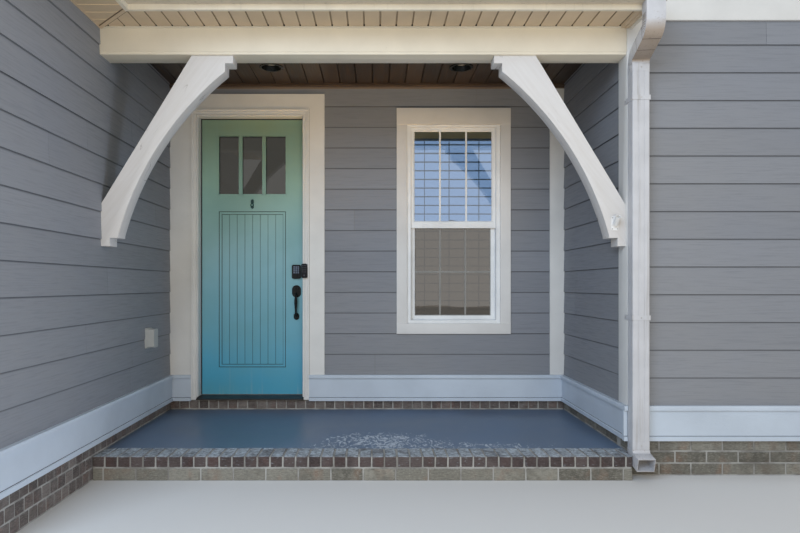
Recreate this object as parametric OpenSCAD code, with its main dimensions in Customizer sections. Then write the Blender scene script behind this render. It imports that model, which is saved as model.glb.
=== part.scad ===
// Recessed entrance porch of a timber-framed house, in millimetres.
// X runs to the right, Y into the house and Z up. The origin is on the ground
// below the middle of the porch floor.

/* [Porch] */
// Clear width between the siding of the two side walls
porch_w = 3379; // [3300:1:3500]
// Depth from the front of the beam to the siding of the door wall
porch_d = 1372; // [1300:1:1500]
// Height of the porch floor above the ground
floor_h = 150; // [140:1:170]
// Height of the underside of the beam
beam_z = 2698; // [2690:1:2705]
// Depth of the beam from front to back
beam_t = 165; // [155:1:180]
// Height of the stained board ceiling
ceiling_z = 2950; // [2945:1:2955]

/* [Walls] */
// Thickness of the framed walls behind the boards
wall_t = 126; // [115:1:140]
// Length of the left wall in front of the door wall's siding
left_wall_l = 2586; // [2300:1:2900]
// Length of the right front wall from the porch corner
right_wall_l = 1190; // [900:1:1500]
// Top of the skirt boards
skirt_z = 450; // [440:1:460]
// Top of the brick courses under the walls
brick_z = 236; // [232:1:240]

/* [Roof] */
// Height of the soffit
soffit_z = 2868; // [2862:1:2872]
// Overhang of the eaves
eave = 290; // [270:1:300]
// Roof rise for each unit of run
pitch = 0.4167; // [0.35:0.01:0.45]
// Height of the gutter's underside
gutter_z = 2888; // [2885:1:2892]

/* [Braces] */
// Thickness of the two curved braces
brace_t = 114; // [100:1:118]
// Reach of a brace along the beam
brace_reach = 845; // [835:1:850]
// Height of the foot of a brace
brace_foot_z = 1471; // [1455:1:1480]

/* [Door] */
// Width of the door leaf
leaf_w = 908; // [900:1:914]
// Height of the door leaf
leaf_h = 2413; // [2405:1:2420]
// Thickness of the door leaf
leaf_t = 44; // [40:1:46]
// Middle of the door opening, left of the porch's middle
door_x = -1004; // [-1010:1:-1000]

/* [Window] */
// Middle of the window
win_x = 745; // [735:1:755]
// Width of the window frame
win_w = 803; // [790:1:815]
// Height of the window frame
win_h = 1713; // [1700:1:1720]
// Height of the bottom of the window frame
win_z = 890; // [880:1:900]

/* [Hidden] */
$fn = 48;

// Siding stands this far in front of the wall slabs
lap = 8;
hw = porch_w / 2;
y_front = -porch_d / 2;
y_back = porch_d / 2;
// Faces of the wall slabs
x_side = hw + lap;
x_out = x_side + wall_t;
y_wall = y_back + lap;
y_in = y_wall + wall_t;
y_wing = y_front + lap;
left_end_y = y_back - left_wall_l;
right_end_x = hw + right_wall_l;
// Brickwork stands just behind the face of the siding
brick_set = 4;
x_brick = hw + brick_set;
y_brick = y_back + brick_set;

// Brick edging of the porch floor
edge_back_y = -586;
edge_front_y = -788;
edge_end_x = 1675;

// Eaves and roof
fascia_t = 24;
fascia_y = y_front - eave;
fascia_x = -hw + eave;
deck_t = 27;
// Timber below the deck stops this far short of it
under_deck = -(deck_t + 0.05);
drip = 10;
eave_z = gutter_z + 124;
wing_rise = 90;
soffit_t = 12;
gutter_w = 127;
gutter_h = 89;
gutter_t = 3;
gutter_end_x = 1780;
eave_end_x = 1715;
fascia_drop = 12;
deck_front_y = fascia_y - drip;
deck_left_x = fascia_x + drip;
function porch_roof_z(y) = eave_z + (y - fascia_y) * pitch;
function left_roof_z(x) = eave_z + (fascia_x - x) * pitch;
wing_top_z = porch_roof_z(y_wing + wall_t) + wing_rise;

// Downspout
pipe_w = 108;
pipe_d = 83;
pipe_wall = 3;
pipe_corner_r = 9;
flute_w = 8;
flute_d = 2;
pipe_x = 1733;
pipe_r = 62;
pipe_bend_a = 75;
crimp_n = 10;
crimp_d = 3;
spout_l = 70;
outlet_y = fascia_y - 52;
pipe_y = -742;
// The upper elbows are twisted towards the left to reach the outlet
elbow_twist = -6;
pipe_top_z = 2608;
pipe_foot_z = 190;
strap_h = 30;
strap_z = [2379, 1000];

// Trim boards
trim_proud = 9;
y_trim = y_back - trim_proud;
y_trim_front = y_front - trim_proud;
casing_w = 140;
corner_face_x = hw - trim_proud;
corner_w = 143;
y_corner = y_trim_front + corner_w;
band_z = 2913;
band_h = 286;
moulding_h = 39;

// Door set
side_gap = 5;
latch_gap = 7;
sill_gap = 6;
jamb_t = 25;
stop_t = 12;
mould_w = 57;
mould_reveal = 2;
mould_front = 20;
door_casing_w = 131;
open_w = leaf_w + side_gap + latch_gap;
open_x0 = door_x - open_w / 2;
open_x1 = door_x + open_w / 2;
leaf_x0 = open_x0 + side_gap;
leaf_x1 = leaf_x0 + leaf_w;
sill_t = 25;
leaf_z0 = brick_z + sill_t + sill_gap;
leaf_z1 = leaf_z0 + leaf_h;
head_z = leaf_z1 + side_gap;
leaf_y1 = y_in;
leaf_y0 = leaf_y1 - leaf_t;
jamb_y0 = y_back + 4;
frame_x0 = open_x0 - jamb_t;
frame_x1 = open_x1 + jamb_t;
frame_z1 = head_z + jamb_t;
leaf_cx = (leaf_x0 + leaf_x1) / 2;
mould_x0 = open_x0 + stop_t - mould_reveal;
mould_x1 = open_x1 - stop_t + mould_reveal;
mould_z1 = head_z - stop_t + mould_reveal;
casing_x0 = mould_x0 - mould_w;
casing_x1 = mould_x1 + mould_w;
casing_z1 = mould_z1 + mould_w;

// Lights and panel of the door leaf
light_w = 175;
light_gap = 30;
light_z0 = 2016;
light_h = 507;
pane_t = 18;
panel_w = 587;
panel_z0 = 501;
panel_h = 1365;
panel_edge = 24;
panel_groove = 6;
bead_n = 8;
bead_groove = 6;

// Hinges
pin_r = 3.5;
bore_r = 3.8;
knuckle_r = 6.5;
pin_x = open_x0 + side_gap / 2;
pin_y = y_in + 8;
hinge_h = 100;
hinge_plate = 2.4;
knuckle_n = 5;
knuckle_gap = 1;
knuckle_h = (hinge_h - (knuckle_n - 1) * knuckle_gap) / knuckle_n;
hinge_z = [for (k = [0:3]) leaf_z0 + 180 + k * (leaf_h - 360 - hinge_h) / 3];
plate_y0 = y_in - 34;
plate_y1 = y_in - 3;

// Lock set
lock_x = leaf_x1 - 67;
keypad_z = 1337;
rose_z = 1166;
lower_rose_z = 947;
grip_out = 52;
grip_r = 9;
grip_swell = 5;
grip_bend_r = 30;
grip_top_z = rose_z - 20;
thumb_z = rose_z + 26;

// Window
win_x0 = win_x - win_w / 2;
win_x1 = win_x + win_w / 2;
win_z1 = win_z + win_h;
win_side = 33;
win_head = 20;
win_sill = 28;
win_y0 = y_back + 12;
win_y1 = win_y0 + 102;
sash_t = 28;
upper_y = win_y0 + 24;
lower_y = upper_y + sash_t + 2;
meet_z0 = 1714;
meet_z1 = 1770;
side_casing = 89;
blind_w = 664;
slat_pitch = 76.5;
slat_top_z = 2458;
slat_n = 21;
slat_d = 50;
slat_t = 3;
headrail_z = 2493;
// Ladders and the lift cord, from the middle of the window
cord_x = [-240, -23, 240];

// Braces
brace_y0 = y_front + 20;
brace_heel_z = 1738;
brace_heel_x = 578;
lip_h = 50;
lip_w = 52;
nose_z = 2595;
toe_x = 105;
toe_z = 1540;
foot_x = 50;
foot_h = 53;
brace_sag = 100;

module box(lo, hi) {
    translate(lo) cube(hi - lo);
}

// A profile drawn in Y and Z, pushed along X
module along_x(x0, x1) {
    translate([x0, 0, 0]) rotate([90, 0, 90]) linear_extrude(x1 - x0) children();
}

// A profile drawn in X and Z, pushed along Y
module along_y(y0, y1) {
    translate([0, y1, 0]) rotate([90, 0, 0]) linear_extrude(y1 - y0) children();
}

module at(p) {
    translate(p) children();
}

// A rectangle with round corners, made of true arcs
module round_rect(w, h, r) {
    square([w - 2 * r, h], center = true);
    square([w, h - 2 * r], center = true);
    for (sx = [-1, 1]) {
        for (sy = [-1, 1]) {
            translate([sx * (w / 2 - r), sy * (h / 2 - r)]) circle(r);
        }
    }
}

// Foundations and floor

module left_foundation() {
    color("rosybrown") box([-x_out, left_end_y, 0], [-x_brick, y_in, brick_z]);
}

module back_foundation() {
    color("rosybrown") box([-x_brick, y_brick, 0], [x_brick, y_in, brick_z]);
}

module right_foundation() {
    color("rosybrown") {
        box([x_brick, y_front + brick_set, 0], [x_out, y_in, brick_z]);
        box([x_brick, y_front + brick_set, 0], [right_end_x, y_wing + wall_t, brick_z]);
    }
}

module porch_slab() {
    color("slategray") box([-x_brick, edge_back_y, 0], [x_brick, y_brick, floor_h]);
}

// Bricks on edge over one course laid flat, as one mass of masonry. In front of the
// wall line it stops short of the downspout.
module brick_edging() {
    color("rosybrown") {
        box([-x_brick, edge_front_y, 0], [edge_end_x, edge_back_y, floor_h]);
        box([-x_brick, y_front + brick_set, 0], [x_brick, edge_back_y, floor_h]);
    }
}

// Walls

// The space below the porch roof's deck, seen from the side
module under_porch_roof(y0, y1, z0, lift) {
    polygon([[y0, z0], [y1, z0], [y1, porch_roof_z(y1) + lift], [y0, porch_roof_z(y0) + lift]]);
}

module left_wall() {
    color("slategray") {
        along_x(-x_out, -x_side)
            under_porch_roof(fascia_y + (fascia_x + x_out), y_in, brick_z, under_deck);
        along_y(left_end_y, y_in)
            polygon([[-x_out, brick_z], [-x_side, brick_z],
                [-x_side, left_roof_z(-x_side) + under_deck],
                [-x_out, left_roof_z(-x_out) + under_deck]]);
    }
}

module back_wall_part(x0, x1, z0) {
    along_x(x0, x1) under_porch_roof(y_wall, y_in, z0, under_deck);
}

module back_wall_left() {
    color("slategray") back_wall_part(-x_side, frame_x0, brick_z);
}

module back_wall_over_door() {
    color("slategray") back_wall_part(frame_x0, frame_x1, frame_z1);
}

module back_wall_right() {
    color("slategray") difference() {
        back_wall_part(frame_x1, x_side, brick_z);
        box([win_x0, y_wall - 1, win_z], [win_x1, y_in + 1, win_z1]);
    }
}

module return_wall() {
    color("slategray") along_x(x_side, x_out)
        under_porch_roof(y_wing + wall_t, y_in, brick_z, wing_rise);
}

module right_wall() {
    color("slategray")
        box([x_side, y_wing, brick_z], [right_end_x, y_wing + wall_t, wing_top_z]);
}

// Outside trim

// Section of a skirt board: its back is at 0 and it stands out to the left
module skirt_section() {
    brick_step = brick_set - lap;
    polygon([[0, skirt_z], [-38, skirt_z], [-44, skirt_z - 10], [-44, skirt_z - 28],
        [-28, skirt_z - 32], [-28, brick_z + 20], [-36, brick_z + 16], [-36, brick_z - 9],
        [brick_step, brick_z - 9], [brick_step, brick_z], [0, brick_z]]);
}

// The boards on the right front wall are notched behind the downspout
module skirt_boards() {
    gap = 3;
    side = pipe_w / 2 + gap;
    color("white") difference() {
        union() {
            along_x(-x_brick, casing_x0) translate([y_wall, 0]) skirt_section();
            along_x(casing_x1, x_brick) translate([y_wall, 0]) skirt_section();
            along_x(x_side - 44, right_end_x) translate([y_wing, 0]) skirt_section();
            along_y(left_end_y, y_brick) translate([-x_side, 0]) mirror([1, 0]) skirt_section();
            along_y(y_wing, y_brick) translate([x_side, 0]) skirt_section();
        }
        box([pipe_x - side, y_wing - 60, brick_z - 20],
            [pipe_x + side, pipe_y + pipe_d / 2 + gap, skirt_z + 1]);
    }
}

module corner_boards() {
    color("white") {
        box([x_side - 125, y_trim, skirt_z], [x_side, y_wall, ceiling_z - moulding_h]);
        box([corner_face_x, y_trim_front, skirt_z], [x_side, y_corner, soffit_z]);
        box([corner_face_x, y_trim_front, skirt_z], [x_side + 117, y_wing, band_z]);
    }
}

module band_board() {
    color("white") {
        box([x_side, y_trim_front - 3, band_z], [right_end_x, y_wing, band_z + band_h]);
        box([x_side, y_front - 26, band_z + band_h], [right_end_x, y_wing, band_z + band_h + 20]);
    }
}

// Beam and braces

// Boxed beam, notched round the corner board at its right end
module beam() {
    color("antiquewhite") difference() {
        union() {
            along_x(-x_side, x_side)
                under_porch_roof(y_front, y_front + beam_t, beam_z + 16, under_deck);
            box([-x_side, y_front + 4, beam_z], [x_side, y_front + beam_t - 4, beam_z + 17]);
        }
        box([corner_face_x, y_front - 1, beam_z - 1], [x_side + 1, y_corner, band_z]);
    }
}

// Outline of a brace, its leg packed out behind by the given width
module brace_outline(packing) {
    chord = [brace_reach - lip_w - toe_x, nose_z - toe_z];
    half = norm(chord) / 2;
    r = (half * half + brace_sag * brace_sag) / (2 * brace_sag);
    mid = [toe_x, toe_z] + chord / 2;
    inward = [chord[1], -chord[0]] / (2 * half);
    centre = mid + inward * (r - brace_sag);
    difference() {
        polygon([[-packing, brace_foot_z], [-packing, brace_heel_z], [brace_heel_x, beam_z],
            [brace_reach, beam_z], [brace_reach, beam_z - lip_h],
            [brace_reach - lip_w, beam_z - lip_h], [brace_reach - lip_w, nose_z],
            [toe_x, toe_z], [toe_x, brace_foot_z + foot_h],
            [foot_x, brace_foot_z + foot_h], [foot_x, brace_foot_z]]);
        intersection() {
            translate(centre) circle(r, $fn = 180);
            translate([toe_x - 60, toe_z]) square([brace_reach, nose_z - toe_z]);
        }
    }
}

module brace_left() {
    color("gainsboro") along_y(brace_y0, brace_y0 + brace_t)
        translate([-hw, 0]) brace_outline(lap);
}

module brace_right() {
    color("gainsboro") along_y(brace_y0, brace_y0 + brace_t)
        translate([corner_face_x, 0]) mirror([1, 0]) brace_outline(0);
}

// Ceiling

light_x = 755;
light_y = 272;
light_hole_r = 80;

module ceiling() {
    color("saddlebrown") difference() {
        box([-x_side, y_front + beam_t, ceiling_z], [x_side, y_wall, ceiling_z + 19]);
        for (s = [-1, 1]) {
            at([s * light_x, light_y, ceiling_z - 1]) cylinder(r = light_hole_r, h = 21);
        }
    }
}

module ceiling_moulding() {
    color("saddlebrown") along_x(-x_side, x_side) difference() {
        translate([y_wall - 30, ceiling_z - moulding_h]) square([30, moulding_h]);
        translate([y_wall - 34, ceiling_z - moulding_h - 3]) circle(28);
    }
}

module downlights() {
    color("dimgray") for (s = [-1, 1]) {
        at([s * light_x, light_y, ceiling_z]) rotate_extrude()
            polygon([[95, 0], [94, -5], [76, -6], [62, 34], [62, 52], [0, 52], [0, 56],
                [78, 56], [78, 0]]);
    }
}

// Eaves and roof

module soffit() {
    end_x = eave_end_x - fascia_t;
    color("tan") translate([0, 0, soffit_z]) linear_extrude(soffit_t) polygon([
        [end_x, y_trim_front], [corner_face_x, y_trim_front], [corner_face_x, y_front],
        [-x_side, y_front], [-x_side, left_end_y], [fascia_x - fascia_t, left_end_y],
        [fascia_x - fascia_t, fascia_y + fascia_t], [end_x, fascia_y + fascia_t]]);
}

module fascia() {
    top_back = porch_roof_z(fascia_y + fascia_t) + under_deck;
    top_front = eave_z + under_deck;
    z0 = soffit_z - fascia_drop;
    color("antiquewhite") {
        along_x(fascia_x - fascia_t, eave_end_x)
            under_porch_roof(fascia_y, fascia_y + fascia_t, z0, under_deck);
        along_y(left_end_y, fascia_y + fascia_t)
            polygon([[fascia_x - fascia_t, z0], [fascia_x, z0],
                [fascia_x, top_front], [fascia_x - fascia_t, top_back]]);
        along_x(eave_end_x - fascia_t, eave_end_x)
            under_porch_roof(fascia_y, y_trim_front - 3, z0, under_deck);
    }
}

// Gutter section, measured out from the fascia and up from its underside
gutter_face = [[78, 0], [92, 22], [104, 40], [124, 62], [gutter_w, 72]];

module gutter_section() {
    difference() {
        polygon(concat([[0, 0]], gutter_face, [[gutter_w, gutter_h], [0, gutter_h]]));
        polygon(concat([[gutter_t, gutter_t]], [for (p = gutter_face) p + [-gutter_t, gutter_t]],
            [[gutter_w - gutter_t, gutter_h - gutter_t], [gutter_w - 16, gutter_h - gutter_t],
            [gutter_w - 16, gutter_h + 1], [gutter_t, gutter_h + 1]]));
    }
}

module gutter_block() {
    polygon(concat([[0, 0]], gutter_face, [[gutter_w, gutter_h], [0, gutter_h]]));
}

module porch_gutter(x0, x1) {
    along_x(x0, x1) translate([fascia_y, gutter_z]) mirror([1, 0]) children();
}

module left_gutter(y0, y1) {
    along_y(y0, y1) translate([fascia_x, gutter_z]) children();
}

// Plan of the porch's side of the mitre between the two gutters
module gutter_mitre() {
    translate([0, 0, gutter_z - 1]) linear_extrude(gutter_h + 2) polygon([[fascia_x, fascia_y],
        [fascia_x + gutter_w, fascia_y - gutter_w], [gutter_end_x, fascia_y - gutter_w],
        [gutter_end_x, fascia_y]]);
}

// Turned about the downspout as far as the upper elbows are
module twisted() {
    at([pipe_x, pipe_y, 0]) rotate([0, 0, elbow_twist]) at([-pipe_x, -pipe_y, 0]) children();
}

module gutter_porch() {
    color("white") difference() {
        union() {
            intersection() {
                porch_gutter(fascia_x, gutter_end_x) gutter_section();
                gutter_mitre();
            }
            porch_gutter(gutter_end_x - gutter_t, gutter_end_x) gutter_block();
        }
        twisted() at([pipe_x, outlet_y, gutter_z + gutter_t / 2])
            cube([pipe_w - 28, 40, 2 * gutter_t], center = true);
    }
}

module gutter_left() {
    color("white") {
        difference() {
            left_gutter(left_end_y, fascia_y) gutter_section();
            gutter_mitre();
        }
        left_gutter(left_end_y, left_end_y + gutter_t) gutter_block();
    }
}

// The pipe's middle line, each point with its lean from straight down towards +Y
function heading(a) = [sin(a), -cos(a)];
function across(a) = [cos(a), sin(a)];
function bend(p, a0, a1) = let (s = sign(a1 - a0), c = p + s * pipe_r * across(a0))
    [for (k = [0:crimp_n]) let (a = a0 + (a1 - a0) * k / crimp_n)
        [c - s * pipe_r * across(a), a, k % 2 == 0 ? 0 : s]];
function last(v) = v[len(v) - 1];

slant_l = (pipe_y - outlet_y - 2 * pipe_r * (1 - cos(pipe_bend_a))) / sin(pipe_bend_a);
drop_l = gutter_z - pipe_top_z - 1 - 2 * pipe_r * sin(pipe_bend_a)
    - slant_l * cos(pipe_bend_a);
bend_1 = bend([outlet_y, gutter_z - drop_l], 0, pipe_bend_a);
bend_2 = bend(last(bend_1)[0] + slant_l * heading(pipe_bend_a), pipe_bend_a, 0);
bend_3 = bend([pipe_y, pipe_foot_z - 1], 0, -pipe_bend_a);

// Side of the pipe at a distance from its middle line, crimped inside each bend
function pipe_side(path, w) = [for (e = path)
    e[0] + (w - (e[2] * w > 0 ? sign(w) * crimp_d : 0)) * across(e[1])];
function reversed(v) = [for (k = [len(v) - 1:-1:0]) v[k]];

// Outline of a stretch of pipe, seen from the side
module pipe_outline(path, w) {
    polygon(concat(pipe_side(path, -w / 2), reversed(pipe_side(path, w / 2))));
}

function pipe_end(p, a, past) = [[p + past * heading(a), a, 0]];

// A bent stretch from one end to the other, with the bore run past both ends
module bent_pipe(p0, a0, bends, p1, a1) {
    bore_w = pipe_d - 2 * pipe_wall;
    difference() {
        along_x(pipe_x - pipe_w / 2, pipe_x + pipe_w / 2)
            pipe_outline(concat(pipe_end(p0, a0, 0), bends, pipe_end(p1, a1, 0)), pipe_d);
        along_x(pipe_x - pipe_w / 2 + pipe_wall, pipe_x + pipe_w / 2 - pipe_wall)
            pipe_outline(concat(pipe_end(p0, a0, -1), bends, pipe_end(p1, a1, 1)), bore_w);
    }
}

// A strap round the front of the pipe, with one ear on the front of the corner board
// and the other on its side
module strap_section() {
    t = 3;
    ear = 32;
    front = pipe_y - pipe_d / 2 - t;
    board = y_trim_front;
    side = pipe_w / 2;
    translate([-side - t, front]) square([2 * side + 2 * t, t]);
    translate([side, front]) square([t, board - front]);
    translate([side, board - t]) square([20, t]);
    translate([-side - t, front]) square([t, board + ear - front]);
    translate([-side - 1, board]) square([corner_face_x - pipe_x + side + 1, ear]);
}

// Straight pipe with round corners and two flutes down its front
module downspout() {
    inner_r = pipe_corner_r - pipe_wall;
    color("white") at([pipe_x, pipe_y, pipe_foot_z]) linear_extrude(pipe_top_z - pipe_foot_z)
        difference() {
            round_rect(pipe_w, pipe_d, pipe_corner_r);
            difference() {
                round_rect(pipe_w - 2 * pipe_wall, pipe_d - 2 * pipe_wall, inner_r);
                flutes(flute_w + 2 * pipe_wall, pipe_wall + flute_d);
            }
            flutes(flute_w, flute_d);
        }
}

module flutes(w, depth) {
    for (s = [-1, 1]) {
        translate([s * pipe_w / 6 - w / 2, -pipe_d / 2 - 1]) square([w, depth + 1]);
    }
}

// Two elbows in one below the gutter's outlet, and one at the foot
module downspout_elbows() {
    spout = last(bend_3)[0] + spout_l * heading(-pipe_bend_a);
    color("white") {
        twisted()
            bent_pipe([outlet_y, gutter_z], 0, concat(bend_1, bend_2), [pipe_y, pipe_top_z], 0);
        bent_pipe([pipe_y, pipe_foot_z], 0, bend_3, spout, -pipe_bend_a);
    }
}

module downspout_straps() {
    color("white") for (z = strap_z) {
        at([pipe_x, 0, z]) linear_extrude(strap_h) strap_section();
    }
}

module roof_porch() {
    valley = deck_left_x + deck_front_y;
    color("dimgray") intersection() {
        along_x(-x_out, eave_end_x) polygon([[deck_front_y, porch_roof_z(deck_front_y) - deck_t],
            [y_in, porch_roof_z(y_in) - deck_t], [y_in, porch_roof_z(y_in)],
            [deck_front_y, porch_roof_z(deck_front_y)]]);
        linear_extrude(2 * ceiling_z) polygon([[deck_left_x, deck_front_y],
            [eave_end_x, deck_front_y], [eave_end_x, y_trim_front - 3], [x_side, y_trim_front - 3],
            [x_side, y_in], [-x_out, y_in], [-x_out, valley + x_out]]);
    }
}

module roof_left() {
    valley = deck_left_x + deck_front_y;
    color("dimgray") intersection() {
        along_y(left_end_y, y_in) polygon([[-x_out, left_roof_z(-x_out) - deck_t],
            [deck_left_x, left_roof_z(deck_left_x) - deck_t],
            [deck_left_x, left_roof_z(deck_left_x)], [-x_out, left_roof_z(-x_out)]]);
        linear_extrude(2 * ceiling_z) polygon([[deck_left_x, left_end_y],
            [deck_left_x, deck_front_y], [-x_out, valley + x_out], [-x_out, left_end_y]]);
    }
}

// Door set

// Section of the moulding round the door: out from its inner edge, then forward
module mould_section() {
    d = mould_front + jamb_y0 - y_back;
    polygon([[0, 0], [mould_w, 0], [mould_w, d], [mould_w - 12, d], [mould_w - 16, d - 5],
        [mould_w - 20, d - 3], [mould_w - 32, d - 5], [18, d - 10], [14, d - 5], [9, d - 3],
        [4, d - 4], [0, d - 8]]);
}

// Front view of one mitred length, as a slab of the moulding's depth
module mitre(points) {
    along_y(y_back - mould_front - 1, jamb_y0 + 1) polygon(points);
}

module door_moulding() {
    z0 = brick_z + sill_t;
    h = casing_z1 - z0;
    intersection() {
        at([mould_x0, jamb_y0, z0]) linear_extrude(h) rotate(180) mould_section();
        mitre([[casing_x0, z0], [mould_x0, z0], [mould_x0, mould_z1], [casing_x0, casing_z1]]);
    }
    intersection() {
        at([mould_x1, jamb_y0, z0]) linear_extrude(h) mirror([0, 1]) mould_section();
        mitre([[mould_x1, z0], [casing_x1, z0], [casing_x1, casing_z1], [mould_x1, mould_z1]]);
    }
    intersection() {
        along_x(casing_x0, casing_x1) translate([jamb_y0, mould_z1]) rotate(90) mould_section();
        mitre([[casing_x0, casing_z1], [mould_x0, mould_z1], [mould_x1, mould_z1],
            [casing_x1, casing_z1]]);
    }
}

module door_casing() {
    w = door_casing_w;
    color("white") {
        box([-x_side, y_trim, skirt_z], [casing_x0, y_wall, casing_z1 + w]);
        box([casing_x1, y_trim, skirt_z], [casing_x1 + w, y_wall, casing_z1 + w]);
        box([casing_x0, y_trim, casing_z1], [casing_x1, y_wall, casing_z1 + w]);
        door_moulding();
    }
}

module door_frame() {
    color("white") difference() {
        box([frame_x0, jamb_y0, brick_z], [frame_x1, y_in, frame_z1]);
        box([open_x0, jamb_y0 - 1, brick_z - 1], [open_x1, y_in + 1, head_z]);
        hinge_mortises(open_x0 - hinge_plate, open_x0 + 1);
    }
    color("white") difference() {
        box([open_x0, jamb_y0, brick_z + sill_t], [open_x1, leaf_y0 - side_gap, head_z]);
        box([open_x0 + stop_t, jamb_y0 - 1, brick_z],
            [open_x1 - stop_t, leaf_y0 - side_gap + 1, head_z - stop_t]);
    }
}

module threshold() {
    color("dimgray") along_x(open_x0, open_x1)
        polygon([[y_back - 31, brick_z], [y_in, brick_z], [y_in, brick_z + 14],
            [leaf_y1 - 8, brick_z + sill_t], [leaf_y0 - 12, brick_z + sill_t],
            [y_back - 22, brick_z + 12], [y_back - 31, brick_z + 9]]);
}

module hinge_mortises(x0, x1) {
    for (z = hinge_z) {
        box([x0, plate_y0, z], [x1, y_in + 1, z + hinge_h]);
    }
}

// Knuckles and plate of one half of a hinge. The frame's half takes the even
// knuckles and the leaf's half the odd ones.
module hinge_half(z, first, x0) {
    box([x0, plate_y0, z], [x0 + hinge_plate, plate_y1, z + hinge_h]);
    for (k = [first:2:knuckle_n - 1]) {
        z0 = z + k * (knuckle_h + knuckle_gap);
        box([x0, plate_y1, z0], [x0 + hinge_plate, pin_y, z0 + knuckle_h]);
        at([pin_x, pin_y, z0]) cylinder(r = knuckle_r, h = knuckle_h);
    }
}

module frame_hinges() {
    color("dimgray") for (z = hinge_z) {
        hinge_half(z, 0, open_x0 - hinge_plate);
        at([pin_x, pin_y, z]) cylinder(r = pin_r, h = hinge_h);
    }
}

module leaf_hinges() {
    color("dimgray") difference() {
        for (z = hinge_z) {
            hinge_half(z, 1, leaf_x0);
        }
        for (z = hinge_z) {
            at([pin_x, pin_y, z]) cylinder(r = bore_r, h = hinge_h);
        }
    }
}

module light_holes(y0, y1) {
    for (k = [-1:1]) {
        x0 = leaf_cx + k * (light_w + light_gap) - light_w / 2;
        box([x0, y0, light_z0], [x0 + light_w, y1, light_z0 + light_h]);
    }
}

// Recess of the lower panel, cut from the face at y towards the middle of the leaf:
// a narrow groove all round, a raised band and the panel itself
module panel_recess(y, s) {
    module step(edge, depth) {
        x0 = leaf_cx - panel_w / 2 + edge;
        x1 = leaf_cx + panel_w / 2 - edge;
        y0 = min(y - s, y + s * depth);
        y1 = max(y - s, y + s * depth);
        box([x0, y0, panel_z0 + edge], [x1, y1, panel_z0 + panel_h - edge]);
    }
    difference() {
        step(0, 9);
        step(panel_groove, 10);
    }
    step(panel_groove - 1, 3);
    step(panel_edge, 13);
}

module bead_grooves(y, s) {
    inner_w = panel_w - 2 * panel_edge;
    y0 = min(y + s * 12, y + s * 18);
    for (k = [1:bead_n - 1]) {
        x = leaf_cx - inner_w / 2 + k * inner_w / bead_n;
        box([x - bead_groove / 2, y0, panel_z0 + panel_edge],
            [x + bead_groove / 2, y0 + 6, panel_z0 + panel_h - panel_edge]);
    }
}

module door_leaf() {
    color("cadetblue") difference() {
        box([leaf_x0, leaf_y0, leaf_z0], [leaf_x1, leaf_y1, leaf_z1]);
        light_holes(leaf_y0 - 1, leaf_y1 + 1);
        panel_recess(leaf_y0, 1);
        panel_recess(leaf_y1, -1);
        bead_grooves(leaf_y0, 1);
        bead_grooves(leaf_y1, -1);
        hinge_mortises(leaf_x0 - 1, leaf_x0 + hinge_plate);
    }
}

module door_glass() {
    mid_y = (leaf_y0 + leaf_y1) / 2;
    color("lightblue", 0.5) light_holes(mid_y - pane_t / 2, mid_y + pane_t / 2);
}

// A plate of round-cornered outline on the outer face of the leaf
module face_plate(z, w, h, r, depth) {
    at([lock_x, leaf_y0, z]) rotate([90, 0, 0]) linear_extrude(depth) round_rect(w, h, r);
}

// The same on the inner face
module inner_plate(z, w, h, r, depth) {
    at([lock_x, leaf_y1, z]) rotate([-90, 0, 0]) linear_extrude(depth) round_rect(w, h, r);
}

module keypad_lock() {
    color("dimgray") {
        face_plate(keypad_z, 79, 122, 14, 20);
        face_plate(keypad_z, 67, 110, 10, 26);
        inner_plate(keypad_z, 74, 128, 12, 26);
        at([lock_x, leaf_y1 + 26, keypad_z - 25]) rotate([-90, 0, 0]) cylinder(r = 16, h = 6);
        box([lock_x - 5, leaf_y1 + 32, keypad_z - 45], [lock_x + 5, leaf_y1 + 46, keypad_z - 5]);
    }
}

// The grip swells towards its upper end
module grip_bar(z0, z1) {
    n = 12;
    at([lock_x, leaf_y0 - grip_out, z0]) rotate_extrude() polygon(concat([[0, 0]],
        [for (k = [0:n]) [grip_r + grip_swell * sin(180 * pow(k / n, 2)), (z1 - z0) * k / n]],
        [[0, z1 - z0]]));
}

// A quarter bend of the grip, and its leg into the leaf
module grip_end(z, bend_z, turn) {
    at([lock_x, leaf_y0 - grip_out + grip_bend_r, bend_z]) rotate([0, -90, 0])
        rotate([0, 0, turn]) rotate_extrude(angle = 90) translate([grip_bend_r, 0]) circle(grip_r);
    at([lock_x, leaf_y0, z]) rotate([90, 0, 0]) cylinder(r = grip_r, h = grip_out - grip_bend_r);
}

module handle_set() {
    color("dimgray") {
        face_plate(rose_z, 77, 107, 38, 10);
        face_plate(rose_z, 58, 86, 28.5, 17);
        face_plate(lower_rose_z, 48, 60, 23.5, 9);
        // Thumb piece
        box([lock_x - 14, leaf_y0 - 50, thumb_z], [lock_x + 14, leaf_y0 - 16, thumb_z + 6]);
        grip_bar(lower_rose_z + grip_bend_r, grip_top_z - grip_bend_r);
        grip_end(lower_rose_z, lower_rose_z + grip_bend_r, 180);
        grip_end(grip_top_z, grip_top_z - grip_bend_r, 270);
        // Knob on the inner face
        at([lock_x, leaf_y1, rose_z]) rotate([-90, 0, 0]) rotate_extrude()
            polygon([[0, 0], [33, 0], [33, 5], [26, 9], [12, 12], [12, 26], [24, 34], [28, 44],
                [26, 55], [18, 61], [0, 63]]);
    }
}

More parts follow.
